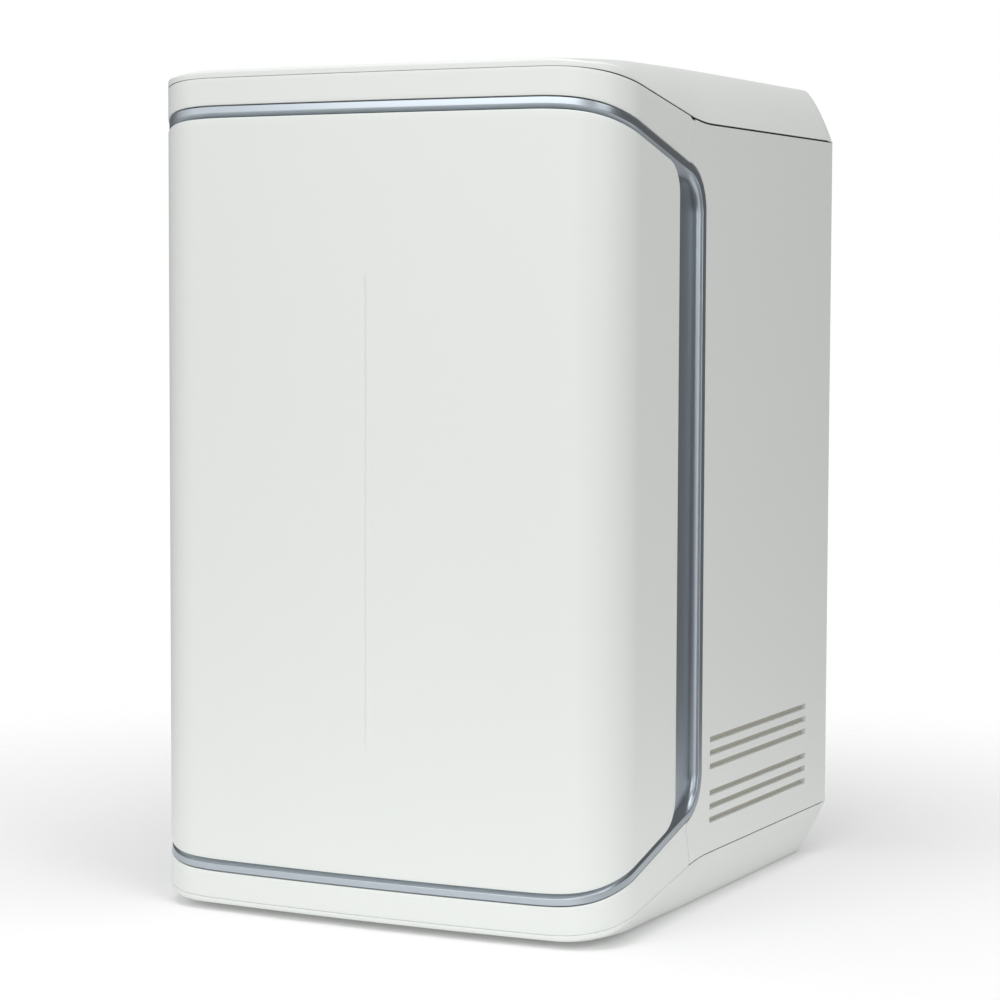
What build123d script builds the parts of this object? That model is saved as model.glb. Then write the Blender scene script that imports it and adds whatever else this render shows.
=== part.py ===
from build123d import *
import os
from math import atan, cos, pi, sin, sqrt, tan

# Lab water purification system: a tall moulded case with one wrap-round front door.
# Lengths in mm. X to the right, Y to the back, Z up. While building, Y runs from the front face.
# Each finished piece is moved so that the origin lies on the bench under the middle of the case.

# Case, outer form
case_width = 305.2
case_depth = 349.2
rim_height = 495.0
stand_gap = 2.0
crown_rise = 1.5
crown_run = 100.0
front_radius = 1846.0
corner_radius = 34.0
wall = 3.0
facet_inset = 14.5
facet_bulge = 0.9
rim_round = 3.6
cover_rib = 5.0
cover_rib_pitch = 70.0
cover_ribs = 3
overrun = 12.0

# Seam between covers and body, as drops below the upper rim
seam_front_drop = 4.3
seam_bend_run = 37.0
seam_bend_drop = 9.4
seam_mid_run = 12.4
seam_mid_drop = 4.0
joint_top_y = 118.0
joint_top_drop = 28.1
seam_level_y = 142.0
seam_level_drop = 30.1
seam_ease_drop = 29.5
cover_gap = 0.7

# Door and the groove round it, as drops below the upper rim
groove_drop = 20.6
groove_rear_y = 135.7
groove_corner = 29.0
door_drop = 27.9
door_rear_y = 96.3
door_corner = 20.0
bend_mid_run = 16.4
bend_mid_drop = 6.9
bend_run = 38.4
bend_drop = 13.8
fall_share = 0.27
rim_upright_share = 0.99
joint_low_y = 112.1
joint_gap = 0.3

# Trim ring in the groove
trim_gap = 0.6
trim_land = 3.5
trim_land_depth = 0.6
trim_floor_depth = 5.0
trim_thickness = 2.0
trim_under = 10.0

# Door inner parts
liner_gap = 0.3
liner_thickness = 2.5
liner_inset = 13.5
door_round = 0.8
line_width = 1.6
line_depth = 0.5
line_low = 105.6
line_high_drop = 124.4
rib_depth = 4.0
rib_width = 2.5
rib_half_span = 90.0
rib_rise = 80.0

# Side vents, heights above the lower rim, and the screen behind them
vent_front_y = 148.1
vent_rear_margin = 38.1
vent_height = 3.6
vent_pitch = 8.2
vent_count = 3
vent_high_top = 100.3
vent_low_top = 67.9
screen_thickness = 1.5
screen_margin = 5.0
panel_rib_depth = 3.0
panel_rib_pitch = 90.0
panel_ribs = 3

# Service bay
bay_wall = 2.5
bay_band = 12.0
pocket_margin = 40.6
pocket_low = 82.0
pocket_high_drop = 78.5
pocket_corner = 5.0
pocket_rear_gap = 7.0
boss_radius = 6.0

# Packs, heads and lock rings
station_offset = 3.0
pack_front_y = 49.0
pack_clearance = 9.0
pack_low = 100.0
pack_dome = 12.0
pack_rib_pitch = 22.0
pack_rib_depth = 1.5
pack_rib_width = 3.0
neck_share = 0.65
stub_share = 0.34
stub_offset_share = 0.54
bore_share = 0.44
stub_rise = 11.0
socket_clearance = 0.3
head_margin = 3.0
head_gap = 6.0
head_height = 37.0
head_front_reach = 30.0
head_corner = 18.0
head_port_radius = 6.0
head_port_inset = 28.0
ring_margin = 7.0
ring_height = 10.2
ring_clearance = 0.4
ring_tab = 13.0
ring_tab_width = 14.0
grip_notch_radius = 2.4
grip_notches = 18
oring_wire = 0.9
oring_proud = 0.25
oring_rise = 6.0
oring_sides = 8

# Hinges
hinge_inset = 7.0
hinge_axis_y = 99.5
hinge_level = 130.0
pin_radius = 2.0
pin_clearance = 0.05
knuckle_radius = 3.4
knuckle_height = 14.0
ear_thickness = 4.0
ear_clearance = 0.3
arm_thickness = 3.0
arm_front_y = 66.0
window_front_y = 80.0
window_rear_y = 108.0
window_clearance = 2.0

# Catches
magnet_inset = 52.6
magnet_drop = 64.5
magnet_width = 16.0
magnet_height = 20.0
magnet_depth = 10.0
strike_thickness = 1.5
catch_gap = 0.4

# Chassis
chassis_inset = 18.6
chassis_low = 12.0
chassis_rise = 18.0
chassis_fold = 16.0
chassis_bend = 2.0
cutout_margin = 14.0
cutout_corner = 8.0
sheet = 2.0
chassis_front_y = 100.0
chassis_gap = 3.5
post_radius = 5.0
post_inset = 12.0

# Rear
rear_recess = 22.0
rear_sheet = 3.0
flange_reach = 10.0
flange_thickness = 2.5

# Feet
foot_radius = 13.0
foot_pocket = 1.6
foot_clearance = 0.2
foot_inset = 40.6
foot_front_y = 45.0
foot_rear_margin = 34.2
foot_boss_radius = 16.0

# Reverse osmosis housing
ro_inset = 54.6
ro_reach = 38.0
ro_radius = 30.0
ro_low = 96.0
cap_radius = 34.0
cap_height = 22.0
cap_overlap = 12.0
cap_spigot_radius = 6.0
cap_spigot = 10.0
clamp_width = 14.0
clamp_wall = 2.5

# Electrodeionisation stack
edi_x = -6.0
edi_margin = 52.0
edi_reach = 6.0
edi_high_drop = 20.0
edi_depth = 52.0
edi_low = 190.0
edi_plate = 12.0
edi_plate_margin = 5.0
rod_radius = 3.0
rod_nut_radius = 5.5
rod_nut = 5.0
cell_pitch = 12.0
cell_groove = 1.2

# Ultraviolet reactor
uv_inset = 54.6
uv_reach = 34.0
uv_radius = 23.0
uv_low = 206.0
uv_wall = 2.0
uv_cap = 12.0
lamp_radius = 9.0

# Pumps
pump_z = 48.0
feed_inset = 56.6
feed_motor_radius = 27.0
feed_motor_share = 0.78
feed_motor_reach = 50.0
feed_head_half = 31.0
feed_head_reach = 14.0
recirc_offset = 78.0
recirc_motor_radius = 21.0
recirc_motor_share = 0.6
recirc_motor_reach = 58.0
recirc_head_half = 24.0
recirc_head_reach = 26.0
pump_port_radius = 5.0
pump_port_length = 9.0
pump_foot_half = 16.0

# Power supply
psu_offset = 54.0
psu_inset = 24.6
psu_reach = 44.0
psu_rear_gap = 18.2
psu_high = 58.0
psu_wall = 1.6
psu_holes = 8
psu_hole_share = 0.44

# Control board
board_inset = 30.6
board_width = 142.0
board_rise = 62.0
board_high_rise = 10.0
board_thickness = 1.6
board_standoff = 20.0
standoff_radius = 3.0
standoff_inset = 8.0
chip_height = 5.0
chip_side = 18.0
chip_across_shares = (0.2, 0.2, 0.55, 0.6, 0.85)
chip_up_shares = (0.25, 0.7, 0.3, 0.72, 0.5)
chip_size_shares = (1.0, 1.6, 1.3, 1.0, 0.8)

# Fan
fan_inset = 68.6
fan_z = 116.0
fan_side = 80.0
fan_depth = 25.0
fan_bore = 38.0
fan_hub = 17.0
fan_tip_clearance = 1.5
fan_blades = 7
fan_blade_thickness = 1.6
fan_blade_angle = 38.0
fan_corner = 5.0
spoke_width = 4.0
spoke_depth = 4.0
shaft_radius = 2.0
shaft_clearance = 0.05
rotor_gap = 1.5
guard_rings = 3
guard_depth = 2.0
guard_width = 2.0

# Mains inlet and rocker switch
inlet_offset = 44.0
power_z = 208.0
inlet_half_width = 15.0
inlet_half_height = 12.0
inlet_flange = 4.0
inlet_flange_depth = 3.0
inlet_depth = 26.0
inlet_cavity_half_width = 12.0
inlet_cavity_half_height = 8.5
inlet_cavity_depth = 20.0
inlet_pin_length = 13.0
inlet_pin_half = 1.0
inlet_pin_half_height = 2.0
inlet_pin_pitch = 7.0
switch_inset = 48.6
switch_half_width = 7.5
switch_half_height = 12.0
switch_wall = 2.0
switch_depth = 22.0
rocker_clearance = 0.6
rocker_bow = 3.0
rocker_tilt = 9.0
rocker_depth = 9.0
rocker_axle_radius = 1.5

# Valve manifold and ports
manifold_margin = 16.0
manifold_low = 128.0
manifold_high = 160.0
manifold_depth = 32.2
valve_radius = 11.0
valve_height = 34.0
valve_base = 6.0
valve_base_half = 13.0
port_inset = 36.6
port_z = 144.0
port_pitch = 31.0
port_count = 3
port_radius = 11.0
port_flange_radius = 13.0
port_flange = 3.0
port_reach = 12.0
port_bore = 4.05
port_bore_depth = 12.0
collet_seat_radius = 6.5
collet_seat_depth = 7.0
collet_radius = 6.35
collet_flange_radius = 8.0
collet_flange = 1.5
collet_travel = 1.5
collet_bore = 4.15
sensor_radius = 8.0
sensor_length = 30.0
sensor_hex = 11.0
sensor_hex_length = 8.0

# Tubes
tube_radius = 4.0
tube_wall = 1.0
tube_bend = 12.0
tube_rise = 32.0

# Screws
screw_head_radius = 3.2
screw_head = 1.8
screw_shank_radius = 1.4
screw_shank = 6.0
screw_inset = 5.0
screw_rows = 4

# Worked out from the values above
half_width = case_width / 2
low_rim = stand_gap + crown_rise
high_rim = low_rim + rim_height
mid_z = (low_rim + high_rim) / 2
top_z = high_rim + crown_rise
corner_x = half_width - corner_radius
corner_y = front_radius - sqrt((front_radius - corner_radius) ** 2 - corner_x**2)
bend_y = corner_y + (corner_y - front_radius) * corner_radius / (front_radius - corner_radius)
rear_y = case_depth - rear_recess
panel_y = rear_y - rear_sheet
bay_back_y = door_rear_y - trim_under
flange_depth = trim_floor_depth + trim_thickness
liner_depth = wall + liner_gap
line_high = rim_height - line_high_drop
pocket_half = half_width - pocket_margin
pocket_high = high_rim - pocket_high_drop
station_x = pocket_half / 2 + station_offset
pack_radius = pocket_half / 2 - pack_clearance
station_y = pack_front_y + pack_radius
pocket_rear_y = station_y + pack_radius + pocket_rear_gap
head_front_y = station_y - head_front_reach
head_port_y = pocket_rear_y - head_port_inset
chassis_wall_y = pocket_rear_y + bay_wall + chassis_gap
head_half = pack_radius - head_margin
head_high = pocket_high - head_gap
head_low = head_high - head_height
ring_radius = pack_radius - ring_margin
ring_high = head_low - ring_clearance
ring_low = ring_high - ring_height
ring_tab_reach = ring_radius + ring_tab
pack_shoulder = ring_low - ring_clearance
neck_radius = ring_radius * neck_share
neck_top = head_low - ring_clearance
stub_radius = neck_radius * stub_share
stub_offset = neck_radius * stub_offset_share
stub_bore = stub_radius * bore_share
stub_top = head_low + stub_rise
oring_outer = stub_radius + oring_proud
oring_level = head_low + oring_rise
hinge_axis_x = hinge_inset - half_width
magnet_x = half_width - magnet_inset
magnet_low = high_rim - magnet_drop
chassis_half = half_width - chassis_inset
chassis_high = pocket_high + chassis_rise
foot_x = half_width - foot_inset
foot_rear_y = case_depth - foot_rear_margin
ro_x = ro_inset - half_width
ro_y = chassis_wall_y + ro_reach
ro_high = pocket_high
uv_x = half_width - uv_inset
uv_y = chassis_wall_y + uv_reach
uv_high = pocket_high
edi_half_width = (uv_x - ro_x) / 2 - edi_margin
edi_high = pocket_high - edi_high_drop
edi_front_y = chassis_wall_y + edi_reach
edi_rear_y = edi_front_y + edi_depth
feed_x = feed_inset - half_width
feed_motor_y = chassis_wall_y + feed_motor_reach
feed_head_front_y = chassis_wall_y + feed_head_reach
feed_motor_length = (panel_y - feed_motor_y) * feed_motor_share
recirc_x = feed_x + recirc_offset
recirc_motor_y = chassis_wall_y + recirc_motor_reach
recirc_head_front_y = chassis_wall_y + recirc_head_reach
recirc_motor_length = (panel_y - recirc_motor_y) * recirc_motor_share
psu_left = recirc_x + psu_offset
psu_right = half_width - psu_inset
psu_front_y = chassis_wall_y + psu_reach
psu_rear_y = panel_y - psu_rear_gap
psu_hole_pitch = (psu_right - psu_left) / (psu_holes + 2)
board_right = half_width - board_inset
board_left = board_right - board_width
board_low = power_z + board_rise
board_high = pocket_high + board_high_rise
fan_x = half_width - fan_inset
switch_x = half_width - switch_inset
inlet_x = switch_x - inlet_offset
port_first_x = port_inset - half_width
port_last_x = port_first_x + port_pitch * (port_count - 1)
manifold_left = port_first_x - manifold_margin
manifold_right = port_last_x + manifold_margin
manifold_front_y = panel_y - manifold_depth
tube_high = pocket_high + tube_rise
pieces = {}


def keep(name, shape):
    """Stores a piece under its plain name."""
    pieces[name] = shape


def block(x0, x1, y0, y1, z0, z1):
    """A box between two corners."""
    middle = Pos((x0 + x1) / 2, (y0 + y1) / 2, (z0 + z1) / 2)
    return middle * Box(x1 - x0, y1 - y0, z1 - z0)


def upright(x, y, radius, z0, z1):
    """A round bar standing between two heights."""
    return Pos(x, y, (z0 + z1) / 2) * Cylinder(radius, z1 - z0)


def plate_y(x, z, half_x, half_z, y0, y1):
    """A block with its middle at x and z, from y0 to y1."""
    return block(x - half_x, x + half_x, y0, y1, z - half_z, z + half_z)


def rod_y(x, z, radius, y0, y1):
    """A round bar lying from front to back."""
    return Pos(x, (y0 + y1) / 2, z) * Rot(90, 0, 0) * Cylinder(radius, y1 - y0)


def rod_x(y, z, radius, x0, x1):
    """A round bar lying from left to right."""
    return Pos((x0 + x1) / 2, y, z) * Rot(0, 90, 0) * Cylinder(radius, x1 - x0)


def flip(z):
    """The same height counted from the lower rim."""
    return low_rim + high_rim - z


def prism(depth, z0, z1, back_y=case_depth):
    """The case's plan, drawn in by a depth, between two heights: a bowed front with round corners."""
    radius = front_radius - depth
    share = radius / (front_radius - corner_radius)
    touch = Vector(corner_x * share, front_radius + (corner_y - front_radius) * share)
    turn = atan((front_radius - corner_y) / corner_x)
    middle = -turn / 2
    corner = corner_radius - depth
    bow = Vector(corner_x + corner * cos(middle), corner_y + corner * sin(middle))
    side = half_width - depth
    edges = [
        ThreePointArc((-touch.X, touch.Y), (0, depth), (touch.X, touch.Y)),
        ThreePointArc((touch.X, touch.Y), (bow.X, bow.Y), (side, corner_y)),
        Line((side, corner_y), (side, back_y)),
        Line((side, back_y), (-side, back_y)),
        Line((-side, back_y), (-side, corner_y)),
        ThreePointArc((-side, corner_y), (-bow.X, bow.Y), (-touch.X, touch.Y)),
    ]
    face = Face(Wire(edges))
    return Pos(0, 0, z0) * extrude(face, amount=z1 - z0, dir=(0, 0, 1))


def skin(depth, thickness):
    """The band of the case's plan between two depths, as high as the case."""
    return prism(depth, 0, top_z) - prism(depth + thickness, 0, top_z)


def across(edges, half=case_width):
    """A side outline, drawn in Y and Z, carried through the case from left to right."""
    return extrude(Face(Wire(edges)), amount=half, dir=(1, 0, 0), both=True)


def side(y, z):
    """A point of a side outline."""
    return (0, y, z)


def outline(drop, back_y, corner, inset=0.0):
    """Side outline of the door or its groove: level in front, falling along the side, round at the back."""
    fall = atan(fall_share)
    turn = pi / 2 - fall
    radius = corner - inset
    level = high_rim - drop - inset
    start = Vector(bend_y, level)
    middle = Vector(bend_y + bend_mid_run, level - bend_mid_drop)
    end = Vector(bend_y + bend_run, level - bend_drop)
    knee = Vector(back_y - inset, end.Y - fall_share * (back_y - inset - end.X))
    reach = radius * tan(turn / 2)
    leave = Vector(knee.X - reach * cos(fall), knee.Y + reach * sin(fall))
    meet = Vector(knee.X, knee.Y - reach)
    crest = Vector(meet.X - radius + radius * cos(turn / 2), meet.Y + radius * sin(turn / 2))
    upper = [Vector(-overrun, level), start, middle, end, leave, crest, meet]
    lower = [Vector(p.X, flip(p.Y)) for p in upper]
    edges = []
    for row, sink in ((upper, -fall_share), (lower, fall_share)):
        points = [side(p.X, p.Y) for p in row]
        edges += [
            Line(points[0], points[1]),
            Spline(*points[1:4], tangents=[side(1, 0), side(1, sink)]),
            Line(points[3], points[4]),
            ThreePointArc(points[4], points[5], points[6]),
        ]
    edges.append(Line(side(upper[6].X, upper[6].Y), side(lower[6].X, lower[6].Y)))
    edges.append(Line(side(upper[0].X, upper[0].Y), side(lower[0].X, lower[0].Y)))
    return edges


def seam(shift):
    """The seam under the top cover, from front to back, lowered by a shift."""
    rim = high_rim - shift
    a = side(-overrun, rim - seam_front_drop)
    b = side(bend_y, rim - seam_front_drop)
    c = side(bend_y + seam_mid_run, rim - seam_front_drop - seam_mid_drop)
    d = side(bend_y + seam_bend_run, rim - seam_front_drop - seam_bend_drop)
    e = side(joint_top_y, rim - joint_top_drop)
    f = side((joint_top_y + seam_level_y) / 2, rim - seam_ease_drop)
    g = side(seam_level_y, rim - seam_level_drop)
    h = side(case_depth + overrun, rim - seam_level_drop)
    edges = [Line(a, b), ThreePointArc(b, c, d), Line(d, e), ThreePointArc(e, f, g), Line(g, h)]
    return edges, a, h


def between_seams(shift):
    """Everything between the two seams, drawn in by a shift."""
    upper, a, h = seam(shift)
    lower = [edge.mirror(Plane.XY.offset(mid_z)) for edge in upper]
    ends = [Line(a, side(a[1], flip(a[2]))), Line(h, side(h[1], flip(h[2])))]
    return across(upper + lower + ends)


def facet_cutter(inset):
    """What lies outside one sloping side of the top cover. Its foot follows the seam down the side."""
    stations = [
        (-overrun, seam_front_drop),
        (bend_y + seam_bend_run, seam_front_drop + seam_bend_drop),
        (joint_top_y, joint_top_drop),
        (seam_level_y, seam_level_drop),
        (case_depth + overrun, seam_level_drop),
    ]
    sections = []
    for y, drop in stations:
        foot = Vector(half_width, high_rim - drop)
        head = Vector(half_width - facet_inset, top_z)
        slope = (head - foot).normalized()
        out = Vector(slope.Y, -slope.X)
        foot = foot - out * inset
        head = head - out * inset
        crest = (foot + head) / 2 + out * facet_bulge
        low = foot - slope * overrun
        high = head + slope * overrun
        edge_x = half_width + overrun * 2
        points = [low, foot, crest, head, high, Vector(edge_x, high.Y), Vector(edge_x, low.Y)]
        p = [(v.X, y, v.Y) for v in points]
        edges = [
            Line(p[0], p[1]),
            ThreePointArc(p[1], p[2], p[3]),
            Line(p[3], p[4]),
            Line(p[4], p[5]),
            Line(p[5], p[6]),
            Line(p[6], p[0]),
        ]
        sections.append(Face(Wire(edges)))
    return loft(sections, ruled=True)


def cover_form(inset, lowered):
    """The top cover's space: above the seam, under a gently crowned roof, inside the sloping sides."""
    seam_edges, a, h = seam(lowered)
    roof = top_z - inset
    front = side(-overrun, high_rim - inset)
    bend = side(0, high_rim - inset)
    crest = side(crown_run / 2, roof - crown_rise / 4)
    level = side(crown_run, roof)
    back = side(case_depth + overrun, roof)
    edges = seam_edges + [
        Line(a, front),
        Line(front, bend),
        ThreePointArc(bend, crest, level),
        Line(level, back),
        Line(back, h),
    ]
    form = prism(inset, 0, top_z, case_depth - inset) & across(edges)
    if inset == 0:
        rim = [e for e in form.edges() if on_front_rim(e)]
        form = fillet(rim, rim_round)
    right = facet_cutter(inset)
    return form - right - right.mirror(Plane.YZ)


def on_front_rim(edge):
    """Whether an edge is the roof's front or corner edge."""
    spot = edge.center()
    return spot.Z > high_rim - seam_front_drop / 2 and spot.Y < corner_y


def over_seam(gap):
    """The space over the seam, raised by a gap."""
    seam_edges, a, h = seam(-gap)
    top = top_z + overrun
    front = side(a[1], top)
    back = side(h[1], top)
    edges = seam_edges + [Line(a, front), Line(front, back), Line(back, h)]
    return across(edges)


def cover_shell():
    """A cover with its wall and cross ribs, open underneath."""
    hollow = cover_form(wall, overrun)
    shell = cover_form(0, 0) - hollow
    rib_low = top_z - wall - cover_rib
    for step in range(cover_ribs):
        y = case_depth / 2 + cover_rib_pitch * (step - 1)
        rib = block(-case_width, case_width, y - rib_width / 2, y + rib_width / 2, rib_low, top_z)
        shell = shell + (rib & cover_form(0, 0))
    return shell


def make_covers():
    """Top cover and base tray, one form turned over."""
    shell = cover_shell() & over_seam(cover_gap / 2)
    top = shell
    for x in (-foot_x, foot_x):
        top = top + upright(x, rear_y - post_inset, post_radius, rear_flange_top(), top_z - wall)
    keep("top_cover", top)
    tray = shell.mirror(Plane.XY.offset(mid_z))
    floor_z = stand_gap + wall
    for x, y in foot_places():
        boss_top = chassis_low if y > chassis_front_y else floor_z + wall
        tray = tray + upright(x, y, foot_boss_radius, floor_z, boss_top)
        tray = tray - upright(x, y, foot_radius + foot_clearance, -overrun, stand_gap + foot_pocket)
    for x in (-foot_x, foot_x):
        tray = tray + upright(x, chassis_front_y + post_inset, post_radius, floor_z, chassis_low)
    keep("base_tray", tray)
    feet = []
    for x, y in foot_places():
        foot = upright(x, y, foot_radius, 0, stand_gap + foot_pocket)
        feet.append(chamfer(foot.edges().group_by(Axis.Z)[0], foot_pocket / 2).solid())
    keep("rubber_feet", Compound(children=feet))


def foot_places():
    """Where the four feet stand."""
    return [(x, y) for y in (foot_front_y, foot_rear_y) for x in (-foot_x, foot_x)]


def rear_flange_top():
    """Height of the rear panel's top flange."""
    return high_rim - seam_level_drop - cover_gap


def joint_zone(front):
    """The space in front of the bezel's slanted end, or behind it."""
    run = (joint_top_y - joint_low_y) / (groove_low_drop() - joint_top_drop)
    gap = joint_gap / 2
    if front:
        gap = -gap
    top = high_rim + overrun
    top_y = joint_top_y + run * (joint_top_drop + overrun) + gap
    low_z = high_rim - groove_low_drop() - groove_corner
    low_y = joint_low_y - run * groove_corner + gap
    far = -overrun if front else case_depth + overrun
    if front:
        ring = [side(far, top), side(top_y, top), side(low_y, low_z), side(far, low_z)]
        return across([Line(ring[i - 1], ring[i]) for i in range(len(ring))])
    ring = [
        side(far, top),
        side(top_y, top),
        side(low_y, low_z),
        side(low_y, flip(low_z)),
        side(top_y, flip(top)),
        side(far, flip(top)),
    ]
    return across([Line(ring[i - 1], ring[i]) for i in range(len(ring))])


def groove_low_drop():
    """Drop of the groove's edge where the bezel ends."""
    return groove_drop + bend_drop + fall_share * (joint_low_y - bend_y - bend_run)


def make_body_panels():
    """Bezels above and below the door, the two ribbed side panels and the screens behind their vents."""
    band = skin(0.0, wall) & between_seams(cover_gap / 2)
    band = band - across(outline(groove_drop, groove_rear_y, groove_corner))
    upper = band & joint_zone(True)
    keep("upper_bezel", upper)
    keep("lower_bezel", upper.mirror(Plane.XY.offset(mid_z)))
    inner_x = half_width - wall
    right = band & joint_zone(False)
    right = right & block(inner_x - wall, case_width, 0, case_depth, 0, top_z)
    flange_low = flip(rear_flange_top()) + flange_reach
    flange_high = rear_flange_top() - flange_reach
    right = right + block(
        inner_x - flange_reach, inner_x, panel_y - flange_thickness, panel_y, flange_low, flange_high
    )
    vent_rear_y = case_depth - vent_rear_margin
    for step in range(panel_ribs):
        z = mid_z + panel_rib_pitch * (step - 1 / 2)
        low = z - rib_width / 2
        rib_x = inner_x - panel_rib_depth
        right = right + block(rib_x, inner_x, vent_front_y, vent_rear_y, low, low + rib_width)
    for group_top in (vent_high_top, vent_low_top):
        for row in range(vent_count):
            z = low_rim + group_top - row * vent_pitch
            slot = block(inner_x - wall, half_width + wall, vent_front_y, vent_rear_y, z - vent_height, z)
            right = right - slot
    keep("side_panel_right", right)
    keep("side_panel_left", right.mirror(Plane.YZ))
    screen = block(
        inner_x - screen_thickness,
        inner_x,
        vent_front_y,
        vent_rear_y + screen_margin,
        low_rim + vent_low_top - vent_pitch * vent_count - screen_margin,
        low_rim + vent_high_top + screen_margin,
    )
    keep("vent_screen_right", screen)
    keep("vent_screen_left", screen.mirror(Plane.YZ))


def window_blocks(margin):
    """Windows in the trim and bay where the hinge arms swing."""
    windows = []
    reach = knuckle_height / 2 + ear_thickness + ear_clearance + margin
    for z in hinge_levels():
        windows.append(
            block(
                -case_width,
                hinge_axis_x + knuckle_radius + window_clearance / 2,
                window_front_y - overrun,
                window_rear_y,
                z - reach,
                z + reach,
            )
        )
    return windows


def hinge_levels():
    """Heights of the two hinges."""
    return (mid_z - hinge_level, mid_z + hinge_level)


def make_trim():
    """The metal-look ring in the groove: a raised land outside, a flat floor that runs under the door."""
    hole = across(outline(door_drop, door_rear_y, door_corner, trim_under))
    outer = across(outline(groove_drop, groove_rear_y, groove_corner, trim_gap))
    inner = across(outline(groove_drop, groove_rear_y, groove_corner, trim_gap + trim_land))
    floor = skin(trim_floor_depth, trim_thickness) & (outer - hole)
    land = skin(trim_land_depth, flange_depth - trim_land_depth) & (outer - inner)
    ring = floor + land
    for window in window_blocks(window_clearance / 2):
        ring = ring - window
    keep("trim_ring", ring)


def make_door():
    """Door skin, its liner with ribs, hinge arms and strike plates."""
    shape = across(outline(door_drop, door_rear_y, door_corner))
    panel = skin(0.0, wall) & shape
    rim = [e for e in panel.edges() if on_door_rim(e)]
    panel = fillet(rim, door_round)
    mark = block(
        -line_width / 2, line_width / 2, -overrun, line_depth, low_rim + line_low, low_rim + line_high
    )
    mark = fillet(mark.edges().filter_by(Axis.Y), line_width / 2 - line_depth / 4)
    keep("door_skin", panel - mark)
    inner = across(outline(door_drop, door_rear_y, door_corner, liner_inset))
    liner = skin(liner_depth, liner_thickness) & inner
    rib_front = liner_depth + liner_thickness
    deep = rib_front + rib_depth
    ribs = skin(rib_front, rib_depth)
    for z in (mid_z - rib_rise, mid_z, mid_z + rib_rise):
        zone = block(-rib_half_span, rib_half_span, 0, deep + wall, z - rib_width / 2, z + rib_width / 2)
        liner = liner + (ribs & zone)
    keep("door_liner", liner)


def on_door_rim(edge):
    """Whether an edge runs round the door's outer face."""
    spot = edge.position_at(1 / 2)
    upright_share = abs(edge.tangent_at(1 / 2).Z)
    inside_face = upright_share > rim_upright_share and spot.Y < door_rear_y - wall
    return plan_depth(spot) < door_round / 4 and not inside_face


def plan_depth(spot):
    """How far a point lies inside the case's outer plan."""
    if spot.Y >= corner_y:
        return half_width - abs(spot.X)
    radial = Vector(abs(spot.X) - corner_x, spot.Y - corner_y)
    if abs(spot.X) > corner_x * (1 + corner_radius / front_radius):
        return corner_radius - radial.length
    return front_radius - Vector(spot.X, spot.Y - front_radius).length


def make_hinges():
    """Two hinges at the rear edge of the door's left return: a bracket, a pin and an arm with a knuckle."""
    pins = []
    half = knuckle_height / 2
    gap = half + ear_clearance
    reach = gap + ear_thickness
    arm_x = liner_depth + liner_thickness - half_width
    plate_x = hinge_axis_x + overrun
    web_x = plate_x - arm_thickness
    foot_y = bay_back_y + bay_wall
    back_y = hinge_axis_y + knuckle_radius
    for name, z in zip(("lower", "upper"), hinge_levels()):
        arm = block(arm_x, arm_x + arm_thickness, arm_front_y, hinge_axis_y, z - half, z + half)
        arm = arm + upright(hinge_axis_x, hinge_axis_y, knuckle_radius, z - half, z + half)
        bore = upright(hinge_axis_x, hinge_axis_y, pin_radius + pin_clearance, z - overrun, z + overrun)
        keep("hinge_arm_" + name, arm - bore)
        bar = upright(hinge_axis_x, hinge_axis_y, knuckle_radius, z - reach, z + reach)
        bar = bar + block(hinge_axis_x, plate_x, hinge_axis_y - knuckle_radius, back_y, z - reach, z + reach)
        bar = bar - block(-case_width, web_x, 0, case_depth, z - gap, z + gap)
        web = block(web_x, plate_x, foot_y, back_y, z - reach, z + reach)
        foot = block(web_x, plate_x + overrun, foot_y, foot_y + arm_thickness, z - reach, z + reach)
        pin = upright(hinge_axis_x, hinge_axis_y, pin_radius, z - reach, z + reach)
        keep("hinge_bracket_" + name, bar + web + foot - pin)
        pins.append(pin.solid())
    keep("hinge_pins", Compound(children=pins))


def make_bay():
    """The tub behind the door: a band behind the trim, a back, ceiling and floor, and the packs' pocket."""
    hole = across(outline(door_drop, door_rear_y, door_corner, trim_under))
    seat = across(outline(groove_drop, groove_rear_y, groove_corner))
    far = across(outline(groove_drop, groove_rear_y, groove_corner, -bay_band))
    band = skin(flange_depth, bay_wall) & (far - hole)
    ledge = skin(wall, flange_depth + bay_wall - wall) & (far - seat)
    zone = across(outline(door_drop, door_rear_y, door_corner, trim_under - bay_wall))
    tub = prism(flange_depth, 0, top_z) & (zone - hole)
    tub = tub + band + (ledge - over_ends())
    outer_half = pocket_half + bay_wall
    outer_rear = pocket_rear_y + bay_wall
    outer_low = pocket_low - bay_wall
    outer_high = pocket_high + bay_wall
    outer = block(-outer_half, outer_half, bay_back_y, outer_rear, outer_low, outer_high)
    outer = fillet(outer.edges().group_by(Axis.Y)[-1], pocket_corner + bay_wall)
    inner = block(-pocket_half, pocket_half, bay_back_y - bay_wall, pocket_rear_y, pocket_low, pocket_high)
    inner = fillet(inner.edges().group_by(Axis.Y)[-1], pocket_corner)
    tub = tub + outer - inner
    for x in (-pocket_half + post_inset, pocket_half - post_inset):
        for z in (pocket_low + post_inset, pocket_high - post_inset):
            tub = tub + rod_y(x, z, boss_radius, outer_rear, chassis_wall_y)
    hole_radius = tube_radius + ring_clearance
    for x in (-station_x, station_x):
        tub = tub - upright(x, head_port_y, hole_radius, pocket_high - wall, outer_high + wall)
    for window in window_blocks(window_clearance):
        tub = tub - window
    keep("service_bay", tub)


def over_ends():
    """What the band must stay clear of, above and below: the covers."""
    cover = over_seam(-wall)
    return cover + cover.mirror(Plane.XY.offset(mid_z))


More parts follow.
